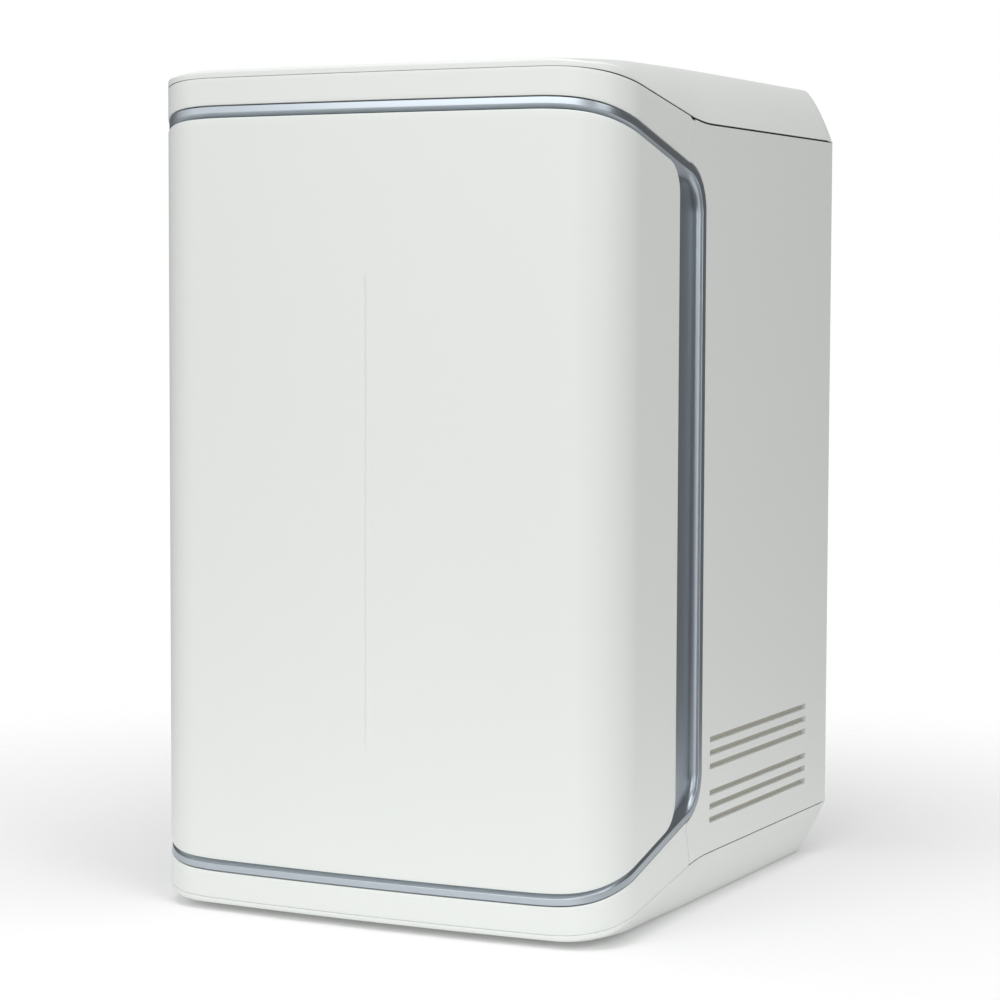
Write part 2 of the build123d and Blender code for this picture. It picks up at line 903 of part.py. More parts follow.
def make_catches():
    """Magnets under the bay's ceiling and on its floor, and the door's strike plates before them."""
    hole = across(outline(door_drop, door_rear_y, door_corner, trim_under))
    x0 = magnet_x - magnet_width / 2
    x1 = magnet_x + magnet_width / 2
    plate_depth = liner_depth + liner_thickness
    magnet_y = plan_front(x1) + plate_depth + strike_thickness + catch_gap
    zone = block(x0, x1, 0, magnet_y, magnet_low, magnet_low + magnet_height)
    plate = skin(plate_depth, strike_thickness) & zone
    magnet = block(x0, x1, magnet_y, magnet_y + magnet_depth, magnet_low, top_z) & hole
    middle = Plane.XY.offset(mid_z)
    keep("door_strikes", Compound(children=[plate.solid(), plate.solid().mirror(middle)]))
    keep("door_magnets", Compound(children=[magnet.solid(), magnet.solid().mirror(middle)]))


def plan_front(x):
    """How far back the case's front face lies at a place across it."""
    return front_radius - sqrt(front_radius**2 - x**2)


def make_station(name, x):
    """One pack station: the head, its lock ring, the pack and its two O-rings."""
    head = block(x - head_half, x + head_half, head_front_y, pocket_rear_y, head_low, head_high)
    front_edges = [e for e in head.edges().filter_by(Axis.Z) if e.center().Y < head_front_y + wall]
    head = fillet(front_edges, head_corner)
    stub_places = (x - stub_offset, x + stub_offset)
    for stub_x in stub_places:
        socket = upright(stub_x, station_y, stub_radius + socket_clearance, head_low - wall, stub_top + wall)
        head = head - socket
    head = head + upright(x, head_port_y, head_port_radius, head_high, pocket_high)
    head = head - upright(x, head_port_y, tube_radius + ring_clearance, head_high - wall, pocket_high + wall)
    keep("pack_head_" + name, head)

    ring = upright(x, station_y, ring_radius, ring_low, ring_high)
    tab_half = ring_tab_width / 2
    tab = block(x - tab_half, x + tab_half, station_y - ring_tab_reach, station_y, ring_low, ring_high)
    tab = fillet(tab.edges().filter_by(Axis.Z).group_by(Axis.Y)[0], ring_tab_width / 4)
    ring = ring + tab
    ring = ring - upright(x, station_y, neck_radius + ring_clearance, ring_low - wall, ring_high + wall)
    for step in range(grip_notches):
        turn = 2 * pi * (step + 1 / 2) / grip_notches
        if cos(turn) > 1 - fall_share:
            continue
        notch_x = x + sin(turn) * ring_radius
        notch_y = station_y - cos(turn) * ring_radius
        ring = ring - upright(notch_x, notch_y, grip_notch_radius, ring_low - wall, ring_high + wall)
    keep("lock_ring_" + name, ring)

    body = pack_body(x)
    seals = []
    for stub_x in stub_places:
        body = body + upright(stub_x, station_y, stub_radius, neck_top, stub_top)
        seals.append(seal_ring(stub_x))
    for stub_x, seal in zip(stub_places, seals):
        body = body - upright(stub_x, station_y, stub_bore, neck_top - wall, stub_top + wall)
        body = body - seal
    keep(("pretreatment_pack" if name == "left" else "polishing_pack"), body)
    keep("o_rings_" + name, Compound(children=[seal.solid() for seal in seals]))


def pack_body(x):
    """A blown canister turned from its profile: domed ends, slanted grooves and a neck."""
    rim = pack_dome / 2
    low = Vector(pack_radius - pack_dome, pack_low + pack_dome)
    high = Vector(pack_radius - rim, pack_shoulder - rim)
    slant = 1 / sqrt(2)
    points = []
    ribs = int((pack_shoulder - pack_low - pack_dome * 4) / pack_rib_pitch)
    for step in range(ribs):
        z = pack_low + pack_dome * 2 + pack_rib_pitch * (step + 1 / 2)
        half = pack_rib_width / 2
        points += [
            (pack_radius, z - half - pack_rib_depth),
            (pack_radius - pack_rib_depth, z - half),
            (pack_radius - pack_rib_depth, z + half),
            (pack_radius, z + half + pack_rib_depth),
        ]
    dome_start = (low.X, pack_low)
    dome_middle = (low.X + pack_dome * slant, low.Y - pack_dome * slant)
    dome_end = (pack_radius, low.Y)
    rim_start = (pack_radius, high.Y)
    rim_middle = (high.X + rim * slant, high.Y + rim * slant)
    rim_end = (high.X, pack_shoulder)
    foot = [(0, neck_top), (0, pack_low), dome_start]
    neck = [rim_end, (neck_radius, pack_shoulder), (neck_radius, neck_top)] + foot
    chain = [dome_end] + points + [rim_start]
    edges = [Line(a, b) for a, b in zip(chain, chain[1:])]
    edges.append(ThreePointArc(rim_start, rim_middle, rim_end))
    edges += [Line(a, b) for a, b in zip(neck, neck[1:])]
    edges.append(ThreePointArc(dome_start, dome_middle, dome_end))
    profile = Plane.XZ * Face(Wire(edges))
    return Pos(x, station_y, 0) * revolve(profile, Axis.Z)


def seal_ring(x):
    """An O-ring on a pack's stub, turned from a many-sided section."""
    section = Pos(oring_outer - oring_wire, 0) * RegularPolygon(oring_wire, oring_sides)
    return Pos(x, station_y, oring_level) * revolve(Plane.XZ * section, Axis.Z)


def make_chassis():
    """Folded sheet: a tray under the pumps, and a wall behind the bay with windows behind its parts."""
    half = chassis_half
    tray = block(-half, half, chassis_front_y, panel_y, chassis_low, chassis_low + chassis_fold)
    tray = folded(tray, Axis.Y, Axis.Z)
    back = block(-half, half, chassis_wall_y, chassis_wall_y + chassis_fold, chassis_low, chassis_high)
    back = folded(back, Axis.Z, Axis.Y)
    ro_reach = cap_height * 3 + clamp_width / 2
    uv_reach = uv_cap * 2 + clamp_width / 2
    windows = [
        (ro_x, ro_radius - sheet * 2, ro_low + ro_reach, ro_high - ro_reach),
        (edi_x, edi_half_width, edi_low + edi_plate, edi_high - edi_plate),
        (uv_x, uv_radius, uv_low + uv_reach, uv_high - uv_reach),
    ]
    for x, half, low, high in windows:
        middle = (low + high) / 2
        cut = plate_y(x, middle, half - sheet, (high - low) / 2 - cutout_margin, chassis_front_y, ro_y)
        back = back - fillet(cut.edges().filter_by(Axis.Y), cutout_corner)
    keep("chassis", tray + back)


def folded(outer, along, toward):
    """A sheet folded up at both sides, cut from a block: open on the side that the folds point to."""
    box = outer.bounding_box()
    inner = block(
        box.min.X + sheet,
        box.max.X - sheet,
        box.min.Y - overrun if along == Axis.Y else box.min.Y + sheet,
        box.max.Y + overrun,
        box.min.Z - overrun if along == Axis.Z else box.min.Z + sheet,
        box.max.Z + overrun,
    )
    outer = fillet(outer.edges().filter_by(along).group_by(toward)[0], chassis_bend + sheet)
    inner = fillet(inner.edges().filter_by(along).group_by(toward)[0], chassis_bend)
    return outer - inner


def make_rear_panel():
    """The rear panel between the side panels, with flanges above and below and holes for what it carries."""
    inner = half_width - wall
    top = rear_flange_top()
    low = flip(top)
    panel = block(-inner, inner, panel_y, rear_y, low, top)
    for z0, z1 in ((top - flange_thickness, top), (low, low + flange_thickness)):
        panel = panel + block(-inner, inner, rear_y - flange_reach * 2, panel_y, z0, z1)
    y0 = panel_y - wall
    y1 = rear_y + wall
    for step in range(port_count):
        panel = panel - rod_y(port_first_x + step * port_pitch, port_z, port_radius + foot_clearance, y0, y1)
    panel = panel - rod_y(fan_x, fan_z, fan_bore, y0, y1)
    panel = panel - plate_y(inlet_x, power_z, inlet_half_width, inlet_half_height, y0, y1)
    panel = panel - plate_y(
        switch_x, power_z, switch_half_width + switch_wall, switch_half_height + switch_wall, y0, y1
    )
    keep("rear_panel", panel)


def make_water_parts():
    """Reverse osmosis housing, electrodeionisation stack and ultraviolet reactor."""
    make_housing()
    make_stack()
    make_reactor()


def make_housing():
    """The reverse osmosis housing with its clamps, and its two ribbed end caps."""
    half_clamp = clamp_width / 2
    tube_low = ro_low + cap_height - cap_overlap
    housing = upright(ro_x, ro_y, ro_radius, tube_low, ro_high - cap_height + cap_overlap)
    wall_face_y = chassis_wall_y + sheet
    for z in (ro_low + cap_height * 3, ro_high - cap_height * 3):
        low = z - half_clamp
        high = z + half_clamp
        clamp = upright(ro_x, ro_y, ro_radius + clamp_wall, low, high)
        foot = block(ro_x - ro_radius, ro_x + ro_radius, wall_face_y, ro_y, low, high)
        housing = housing + clamp + foot
    keep("reverse_osmosis_housing", housing)
    cap_low = ro_high - cap_height
    cap = upright(ro_x, ro_y, cap_radius, cap_low, ro_high)
    cap = chamfer(cap.edges().group_by(Axis.Z)[-1], clamp_wall)
    cap = cap + upright(ro_x, ro_y, cap_spigot_radius, cap_low, ro_high + cap_spigot)
    for step in range(grip_notches):
        turn = 2 * pi * step / grip_notches
        x = ro_x + cos(turn) * cap_radius
        y = ro_y + sin(turn) * cap_radius
        cap = cap - upright(x, y, grip_notch_radius, cap_low - wall, ro_high + wall)
    cap = cap - upright(ro_x, ro_y, ro_radius, cap_low - wall, cap_low + cap_overlap)
    lower = cap.mirror(Plane.XY.offset((ro_low + ro_high) / 2))
    keep("reverse_osmosis_caps", Compound(children=[cap.solid(), lower.solid()]))


def make_stack():
    """The electrodeionisation stack: thin cells between two plates, drawn together by four tie rods."""
    front_y = edi_front_y + edi_plate_margin
    back_y = edi_rear_y - edi_plate_margin
    core_low = edi_low + edi_plate
    core_high = edi_high - edi_plate
    core = block(edi_x - edi_half_width, edi_x + edi_half_width, front_y, back_y, core_low, core_high)
    inner_half = edi_half_width - cell_groove
    inner_front = front_y + cell_groove
    inner_back = back_y - cell_groove
    cells = int((core_high - core_low) / cell_pitch)
    for step in range(1, cells):
        z = core_low + step * cell_pitch
        low = z - cell_groove / 2
        high = z + cell_groove / 2
        ring = block(-case_width, case_width, 0, case_depth, low, high)
        heart = block(edi_x - inner_half, edi_x + inner_half, inner_front, inner_back, low, high)
        core = core - (ring - heart)
    keep("deionisation_core", core)
    plates = []
    plate_half = edi_half_width + edi_plate_margin * 2
    for z0, z1 in ((edi_low, core_low), (core_high, edi_high)):
        plate = block(edi_x - plate_half, edi_x + plate_half, chassis_wall_y + sheet, edi_rear_y, z0, z1)
        for x, y in rod_places():
            plate = plate - upright(x, y, rod_radius + foot_clearance, z0 - wall, z1 + wall)
        plates.append(plate.solid())
    keep("deionisation_end_plates", Compound(children=plates))
    rods = []
    for x, y in rod_places():
        rod = upright(x, y, rod_radius, edi_low - rod_nut * 2, edi_high + rod_nut * 2)
        for z0 in (edi_low - rod_nut, edi_high):
            nut = Pos(x, y, z0) * extrude(RegularPolygon(rod_nut_radius, 6), rod_nut)
            rod = rod + nut
        rods.append(rod.solid())
    keep("deionisation_tie_rods", Compound(children=rods))


def make_reactor():
    """The ultraviolet reactor, a steel tube on two saddles, with the lamp inside."""
    half_clamp = clamp_width / 2
    tube = upright(uv_x, uv_y, uv_radius, uv_low, uv_high)
    for z in (uv_low + uv_cap * 2, uv_high - uv_cap * 2):
        tube = tube + upright(uv_x, uv_y, uv_radius + clamp_wall, z - half_clamp, z + half_clamp)
        y0 = chassis_wall_y + sheet
        tube = tube + block(uv_x - uv_radius, uv_x + uv_radius, y0, uv_y, z - half_clamp, z + half_clamp)
    tube = tube - upright(uv_x, uv_y, uv_radius - uv_wall, uv_low + uv_cap, uv_high - uv_cap)
    tube = tube + upright(uv_x, uv_y, cap_spigot_radius, uv_high, uv_high + cap_spigot)
    keep("ultraviolet_reactor", tube)
    keep("ultraviolet_lamp", upright(uv_x, uv_y, lamp_radius, uv_low + uv_cap, uv_high - uv_cap))


def rod_places():
    """Where the four tie rods stand."""
    xs = (edi_x - edi_half_width - edi_plate_margin, edi_x + edi_half_width + edi_plate_margin)
    ys = (edi_front_y + edi_plate_margin, edi_rear_y - edi_plate_margin)
    return [(x, y) for x in xs for y in ys]


def make_pump(name, x, radius, motor_y, length, half, head_y):
    """A pump lying from front to back: motor, square head with two ports, feet on the chassis floor."""
    motor_rear = motor_y + length
    motor = rod_y(x, pump_z, radius, motor_y, motor_rear)
    motor = motor + rod_y(x, pump_z, radius - wall, motor_rear, motor_rear + wall)
    foot_low = chassis_low + sheet
    for y in (motor_y + length / 4, motor_y + length * 3 / 4):
        motor = motor + block(x - pump_foot_half, x + pump_foot_half, y - wall, y + wall, foot_low, pump_z)
    keep(name + "_motor", motor)
    head = plate_y(x, pump_z, half, half, head_y, motor_y)
    head = chamfer(head.edges().filter_by(Axis.Y), half / 4)
    port_y = (head_y + motor_y) / 2
    for port_x in (x - half / 2, x + half / 2):
        head = head + upright(port_x, port_y, pump_port_radius, pump_z, pump_z + half + pump_port_length)
    keep(name + "_head", head)


def make_power():
    """Power supply with its slotted case, control board on standoffs, mains inlet and rocker switch."""
    supply = block(psu_left, psu_right, psu_front_y, psu_rear_y, chassis_low + sheet, psu_high)
    supply = supply - block(
        psu_left + psu_wall,
        psu_right - psu_wall,
        psu_front_y + psu_wall,
        psu_rear_y - psu_wall,
        chassis_low + sheet + psu_wall,
        psu_high - psu_wall,
    )
    slot_half = psu_hole_pitch * psu_hole_share / 2
    slot_front = psu_front_y + psu_hole_pitch * 2
    slot_rear = psu_rear_y - psu_hole_pitch * 2
    for step in range(psu_holes):
        x = psu_left + psu_hole_pitch * (step + 3 / 2)
        slot = block(x - slot_half, x + slot_half, slot_front, slot_rear, psu_high - wall, psu_high + wall)
        supply = supply - slot
    keep("power_supply", supply)

    board_y = panel_y - board_standoff
    face_y = board_y - board_thickness
    board = block(board_left, board_right, face_y, board_y, board_low, board_high)
    for across_share, up_share, size_share in zip(chip_across_shares, chip_up_shares, chip_size_shares):
        x = board_left + (board_right - board_left) * across_share
        z = board_low + (board_high - board_low) * up_share
        half = chip_side * size_share / 2
        board = board + plate_y(x, z, half, half, face_y - chip_height, face_y)
    keep("control_board", board)
    for x in (board_left + standoff_inset, board_right - standoff_inset):
        for z in (board_low + standoff_inset, board_high - standoff_inset):
            pieces["rear_panel"] = pieces["rear_panel"] + rod_y(x, z, standoff_radius, board_y, panel_y)

    mouth_y = rear_y + inlet_flange_depth
    seat_y = mouth_y - inlet_cavity_depth
    inlet = plate_y(inlet_x, power_z, inlet_half_width, inlet_half_height, mouth_y - inlet_depth, rear_y)
    flange = plate_y(
        inlet_x, power_z, inlet_half_width + inlet_flange, inlet_half_height + inlet_flange, rear_y, mouth_y
    )
    inlet = inlet + fillet(flange.edges().filter_by(Axis.Y), inlet_flange / 2)
    cavity = plate_y(
        inlet_x, power_z, inlet_cavity_half_width, inlet_cavity_half_height, seat_y, mouth_y + wall
    )
    upper_corners = cavity.edges().filter_by(Axis.Y).group_by(Axis.Z)[-1]
    inlet = inlet - fillet(upper_corners, inlet_cavity_half_height / 2)
    for dx, dz in ((-1, -1 / 3), (0, 1 / 3), (1, -1 / 3)):
        x = inlet_x + dx * inlet_pin_pitch
        z = power_z + dz * inlet_cavity_half_height
        pin_tip = seat_y + inlet_pin_length
        inlet = inlet + plate_y(x, z, inlet_pin_half, inlet_pin_half_height, seat_y, pin_tip)
    keep("mains_inlet", inlet)
    make_switch()


def make_switch():
    """The mains switch: a frame with an axle, and the rocker on it, made in its off position."""
    outer_x = switch_half_width + switch_wall
    outer_z = switch_half_height + switch_wall
    seat_y = rear_y - switch_depth
    frame = plate_y(switch_x, power_z, outer_x, outer_z, seat_y, rear_y)
    lip_x = outer_x + switch_wall
    lip_z = outer_z + switch_wall
    flange = plate_y(switch_x, power_z, lip_x, lip_z, rear_y, rear_y + switch_wall)
    frame = frame + fillet(flange.edges().filter_by(Axis.Y), switch_wall / 2)
    mouth_y = rear_y + overrun
    well = plate_y(switch_x, power_z, switch_half_width, switch_half_height, seat_y + switch_wall, mouth_y)
    frame = frame - well
    axle = rod_x(rear_y, power_z, rocker_axle_radius, switch_x - outer_x, switch_x + outer_x)
    keep("switch_frame", frame + axle)
    reach = switch_half_height - rocker_clearance
    face = rear_y + rocker_bow + switch_wall
    back = rear_y - rocker_depth
    slim = switch_half_width - rocker_clearance / 2
    bow = [
        side(face - rocker_bow, power_z - reach),
        side(face - rocker_bow / 3, power_z),
        side(face - rocker_bow, power_z + reach),
        side(back, power_z + reach / 3),
        side(back, power_z - reach / 3),
    ]
    edges = [
        ThreePointArc(bow[0], bow[1], bow[2]),
        Line(bow[2], bow[3]),
        Line(bow[3], bow[4]),
        Line(bow[4], bow[0]),
    ]
    rocker = Pos(switch_x, 0, 0) * across(edges, slim)
    far = outer_x * 2
    hole = rod_x(rear_y, power_z, rocker_axle_radius + shaft_clearance, switch_x - far, switch_x + far)
    pivot = Pos(0, rear_y, power_z)
    keep("rocker_switch", pivot * Rot(rocker_tilt, 0, 0) * pivot.inverse() * (rocker - hole))


def make_fan():
    """Cooling fan: square frame with spokes and bearing, bladed rotor on its shaft, moulded guard outside."""
    front = panel_y - fan_depth
    half = fan_side / 2
    frame = plate_y(fan_x, fan_z, half, half, front, panel_y)
    frame = fillet(frame.edges().filter_by(Axis.Y), fan_corner)
    frame = frame - rod_y(fan_x, fan_z, fan_bore, front - wall, panel_y + wall)
    spoke_rear = front + spoke_depth
    spoke_reach = fan_bore + wall / 2
    spokes = plate_y(fan_x, fan_z, spoke_width / 2, spoke_reach, front, spoke_rear)
    spokes = spokes + plate_y(fan_x, fan_z, spoke_reach, spoke_width / 2, front, spoke_rear)
    spokes = spokes + rod_y(fan_x, fan_z, fan_hub, front, spoke_rear)
    spokes = spokes - rod_y(fan_x, fan_z, shaft_radius + shaft_clearance, front - wall, spoke_rear + wall)
    keep("fan_frame", frame + spokes)
    hub_front = spoke_rear + rotor_gap
    hub_back = panel_y - rotor_gap
    hub = rod_y(fan_x, fan_z, fan_hub, hub_front, hub_back)
    hub = fillet(hub.edges().group_by(Axis.Y)[-1], rotor_gap)
    rotor = hub + rod_y(fan_x, fan_z, shaft_radius, front, hub_front)
    blade_start = fan_hub - wall / 2
    blade_end = fan_bore - fan_tip_clearance
    depth = hub_back - hub_front - rotor_gap
    sweep_zone = rod_y(fan_x, fan_z, blade_end, hub_front, hub_back)
    for step in range(fan_blades):
        blade = Rot(0, 0, fan_blade_angle) * Box(fan_blade_thickness, depth, blade_end - blade_start)
        blade = Rot(0, 360 * step / fan_blades, 0) * Pos(0, 0, (blade_start + blade_end) / 2) * blade
        rotor = rotor + (Pos(fan_x, (hub_front + hub_back) / 2, fan_z) * blade & sweep_zone)
    keep("fan_rotor", rotor)
    guard_back = rear_y + guard_depth
    reach = fan_bore + wall
    guard = plate_y(fan_x, fan_z, reach, guard_width / 2, rear_y, guard_back)
    guard = guard + plate_y(fan_x, fan_z, guard_width / 2, reach, rear_y, guard_back)
    for step in range(guard_rings):
        radius = fan_bore * (step + 1) / guard_rings
        ring = rod_y(fan_x, fan_z, radius + guard_width / 2, rear_y, guard_back)
        guard = guard + (ring - rod_y(fan_x, fan_z, radius - guard_width / 2, rear_y, guard_back))
    keep("fan_guard", guard)


def make_ports():
    """Valve manifold on the rear panel, its valves and sensors, and the push-in ports outside."""
    manifold = block(manifold_left, manifold_right, manifold_front_y, panel_y, manifold_low, manifold_high)
    manifold = chamfer(manifold.edges().filter_by(Axis.X).group_by(Axis.Y)[0], wall)
    keep("valve_manifold", manifold)
    valves = []
    middle_y = (manifold_front_y + panel_y) / 2
    coil_low = manifold_high + valve_base
    coil_high = coil_low + valve_height
    front_y = middle_y - valve_base_half
    back_y = middle_y + valve_base_half
    names = ("drain_port", "product_port", "feed_port")
    for step, name in enumerate(names):
        x = port_first_x + step * port_pitch
        valve = block(x - valve_base_half, x + valve_base_half, front_y, back_y, manifold_high, coil_low)
        valve = valve + upright(x, middle_y, valve_radius, coil_low, coil_high)
        valve = valve + upright(x, middle_y, valve_radius / 2, coil_high, coil_high + valve_base)
        valves.append(valve.solid())
        mouth = rear_y + port_reach
        seat = mouth - collet_seat_depth
        body = rod_y(x, port_z, port_radius, panel_y, mouth)
        body = body + rod_y(x, port_z, port_flange_radius, rear_y, rear_y + port_flange)
        body = body - rod_y(x, port_z, collet_seat_radius, seat, mouth + wall)
        body = body - rod_y(x, port_z, port_bore, seat - port_bore_depth, mouth + wall)
        keep(name, body)
        rest = mouth + collet_travel * 2
        collet = rod_y(x, port_z, collet_radius, seat + collet_travel * 2, rest)
        collet = collet + rod_y(x, port_z, collet_flange_radius, rest, rest + collet_flange)
        collet = collet - rod_y(x, port_z, collet_bore, mouth - overrun, mouth + overrun)
        keep(name.replace("port", "collet"), collet)
    keep("solenoid_valves", Compound(children=valves))
    sensor_front = manifold_front_y - sensor_length
    sensor_right = manifold_right + sensor_length
    first = rod_y(port_last_x, port_z, sensor_radius, sensor_front, manifold_front_y)
    hexagon = extrude(RegularPolygon(sensor_hex, 6), sensor_hex_length)
    first = first + Pos(port_last_x, manifold_front_y, port_z) * Rot(90, 0, 0) * hexagon
    second = rod_x(middle_y, port_z, sensor_radius, manifold_right, sensor_right)
    second = second + Pos(manifold_right, middle_y, port_z) * Rot(0, 90, 0) * hexagon
    keep("conductivity_cells", Compound(children=[first.solid(), second.solid()]))


def hose(points):
    """A tube through its points, with tangent bends."""
    path = FilletPolyline(*points, radius=tube_bend)
    start = Plane(path @ 0, z_dir=path % 0)
    outer = sweep(start * Circle(tube_radius), path)
    inner = sweep(start * Circle(tube_radius - tube_wall), path)
    return (outer - inner).solid()


def make_tubes():
    """The tubes over the top, from the pack heads to the housing and the reactor."""
    runs = [
        [
            (-station_x, head_port_y, head_high - wall),
            (-station_x, head_port_y, tube_high),
            (-station_x, ro_y, tube_high),
            (ro_x, ro_y, tube_high),
            (ro_x, ro_y, ro_high + cap_spigot),
        ],
        [
            (station_x, head_port_y, head_high - wall),
            (station_x, head_port_y, tube_high),
            (station_x, uv_y, tube_high),
            (uv_x, uv_y, tube_high),
            (uv_x, uv_y, uv_high + cap_spigot),
        ],
    ]
    keep("internal_tubes", Compound(children=[hose(run) for run in runs]))


def make_screws():
    """Screws that hold the rear panel to the side panels' flanges."""
    screws = []
    low = flip(rear_flange_top()) + flange_reach * 2
    span = rear_flange_top() - flange_reach * 2 - low
    for x in (-half_width + wall + screw_inset, half_width - wall - screw_inset):
        for step in range(screw_rows):
            z = low + span * step / (screw_rows - 1)
            screw = rod_y(x, z, screw_head_radius, rear_y, rear_y + screw_head)
            screw = screw + rod_y(x, z, screw_shank_radius, rear_y - screw_shank, rear_y)
            screws.append(screw.solid())
    hole = Compound(children=screws)
    keep("case_screws", hole)
    for name in ("rear_panel", "side_panel_left", "side_panel_right"):
        for screw in screws:
            pieces[name] = pieces[name] - screw


def write_pieces():
    """Moves each piece onto the frame's origin and writes it."""
    os.makedirs("parts", exist_ok=True)
    shift = Pos(0, -case_depth / 2, 0)
    for name, shape in pieces.items():
        solids = [shift * solid for solid in shape.solids()]
        whole = solids[0] if len(solids) == 1 else Compound(children=solids)
        whole.label = name
        export_step(whole, "parts/" + name + ".step")


make_covers()
make_body_panels()
make_trim()
make_door()
make_hinges()
make_bay()
make_catches()
make_station("left", -station_x)
make_station("right", station_x)
make_chassis()
make_rear_panel()
make_water_parts()
make_pump(
    "feed_pump",
    feed_x,
    feed_motor_radius,
    feed_motor_y,
    feed_motor_length,
    feed_head_half,
    feed_head_front_y,
)
make_pump(
    "recirculation_pump",
    recirc_x,
    recirc_motor_radius,
    recirc_motor_y,
    recirc_motor_length,
    recirc_head_half,
    recirc_head_front_y,
)
make_power()
make_fan()
make_ports()
make_tubes()
make_screws()
write_pieces()
print(len(pieces), "pieces")
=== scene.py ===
import logging
from dataclasses import dataclass
from enum import Enum
from math import atan, atan2, cos, pi, radians, sin, sqrt, tan

import bmesh
import bpy
import numpy as np
from mathutils import Matrix


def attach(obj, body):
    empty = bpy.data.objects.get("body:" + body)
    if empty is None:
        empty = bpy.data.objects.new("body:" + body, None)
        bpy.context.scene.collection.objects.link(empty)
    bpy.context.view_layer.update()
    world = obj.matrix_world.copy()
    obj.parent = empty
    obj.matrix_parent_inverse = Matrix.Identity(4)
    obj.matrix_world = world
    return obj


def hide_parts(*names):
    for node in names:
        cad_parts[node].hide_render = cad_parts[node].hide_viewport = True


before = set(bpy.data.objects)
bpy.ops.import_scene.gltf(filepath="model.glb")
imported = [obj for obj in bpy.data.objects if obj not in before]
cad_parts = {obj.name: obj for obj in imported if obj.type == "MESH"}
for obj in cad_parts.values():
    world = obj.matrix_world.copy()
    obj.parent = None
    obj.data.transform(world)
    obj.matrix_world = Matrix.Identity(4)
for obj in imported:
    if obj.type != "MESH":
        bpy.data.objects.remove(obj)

LOG = logging.getLogger("water_system")
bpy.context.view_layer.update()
MM = 0.001
WELD_M = 2e-6
SMOOTH_TURN = radians(38)
Array = np.ndarray
Faces = list[list[int]]


def linear(hex_code: str) -> tuple[float, float, float, float]:
    """Turns an sRGB hex colour to linear light.

    Args:
        hex_code: six hex digits.

    Returns:
        Red, green, blue and an alpha of 1.
    """
    values = []
    for i in (0, 2, 4):
        c = int(hex_code[i : i + 2], 16) / 255
        values.append(c / 12.92 if c <= 0.04045 else ((c + 0.055) / 1.055) ** 2.4)
    return (*values, 1.0)


def add(
    tree: bpy.types.NodeTree, kind: str, settings: dict | None = None, **links: object
) -> bpy.types.Node:
    """Adds one node, sets its options and sockets, and links its inputs.

    Args:
        tree: the node tree.
        kind: the node's type name.
        settings: options by attribute name.
        links: an input's name, with spaces as underscores, or i and its number, to a value or an
            output socket.

    Returns:
        The new node.
    """
    node = tree.nodes.new(kind)
    for key, value in (settings or {}).items():
        setattr(node, key, value)
    for key, value in links.items():
        numbered = key[0] == "i" and key[1:].isdigit()
        socket = node.inputs[int(key[1:]) if numbered else key.replace("_", " ")]
        if isinstance(value, bpy.types.NodeSocket):
            tree.links.new(value, socket)
        else:
            socket.default_value = value
    return node


class Grain(Enum):
    """How a surface's fine relief runs, as its stretch along X, Y and Z."""

    EVEN = (1.0, 1.0, 1.0)
    ALONG_X = (0.03, 1.0, 1.0)
    ALONG_Z = (1.0, 1.0, 0.03)


DRIFT_SCALE = 9.0  # a patch of the slow drift in colour is about 110 mm across
LEAST_ROUGHNESS = 0.02


@dataclass(frozen=True)
class Finish:
    """A surface finish: its colour, how it throws light back, and its fine relief.

    The grain's size and depth are in mm; a drift is the share by which a value wanders.
    """

    name: str
    colour: str
    roughness: float = 0.45
    metallic: float = 0.0
    ior: float = 1.5
    grain: Grain = Grain.EVEN
    grain_mm: float = 0.8
    relief: float = 0.05
    relief_mm: float = 0.05
    drift: float = 0.03
    rough_drift: float = 0.04

    def material(self) -> bpy.types.Material:
        """Makes the material: a fine noise moves gloss and relief, a broad one moves the colour.

        Returns:
            The material, or the one already made.
        """
        made = bpy.data.materials.get(self.name)
        if made:
            return made
        mat = bpy.data.materials.new(self.name)
        mat.use_nodes = True
        tree = mat.node_tree
        tree.nodes.clear()
        place = add(tree, "ShaderNodeTexCoord").outputs["Object"]
        scaled = add(tree, "ShaderNodeMapping", Vector=place, Scale=self.grain.value)
        grain = add(
            tree,
            "ShaderNodeTexNoise",
            Vector=scaled.outputs["Vector"],
            Scale=1.0 / (self.grain_mm * MM),
            Detail=3.0,
            Roughness=0.55,
        ).outputs["Fac"]
        broad = add(tree, "ShaderNodeTexNoise", Vector=place, Scale=DRIFT_SCALE, Detail=2.0)
        base = linear(self.colour)[:3]
        low = tuple(c * (1 - self.drift) for c in base) + (1.0,)
        high = tuple(min(1.0, c * (1 + self.drift)) for c in base) + (1.0,)
        colour = add(
            tree,
            "ShaderNodeMix",
            {"data_type": "RGBA"},
            i0=broad.outputs["Fac"],
            i6=low,
            i7=high,
        ).outputs[2]
        rough = add(
            tree,
            "ShaderNodeMapRange",
            Value=grain,
            To_Min=max(LEAST_ROUGHNESS, self.roughness - self.rough_drift),
            To_Max=min(1.0, self.roughness + self.rough_drift),
        )
        bump = add(
            tree,
            "ShaderNodeBump",
            Height=grain,
            Strength=self.relief,
            Distance=self.relief_mm * MM,
        )
        shader = add(
            tree,
            "ShaderNodeBsdfPrincipled",
            Base_Color=colour,
            Roughness=rough.outputs["Result"],
            Metallic=self.metallic,
            Normal=bump.outputs["Normal"],
        )
        if not self.metallic:
            shader.inputs["IOR"].default_value = self.ior
        add(tree, "ShaderNodeOutputMaterial", Surface=shader.outputs["BSDF"])
        return mat


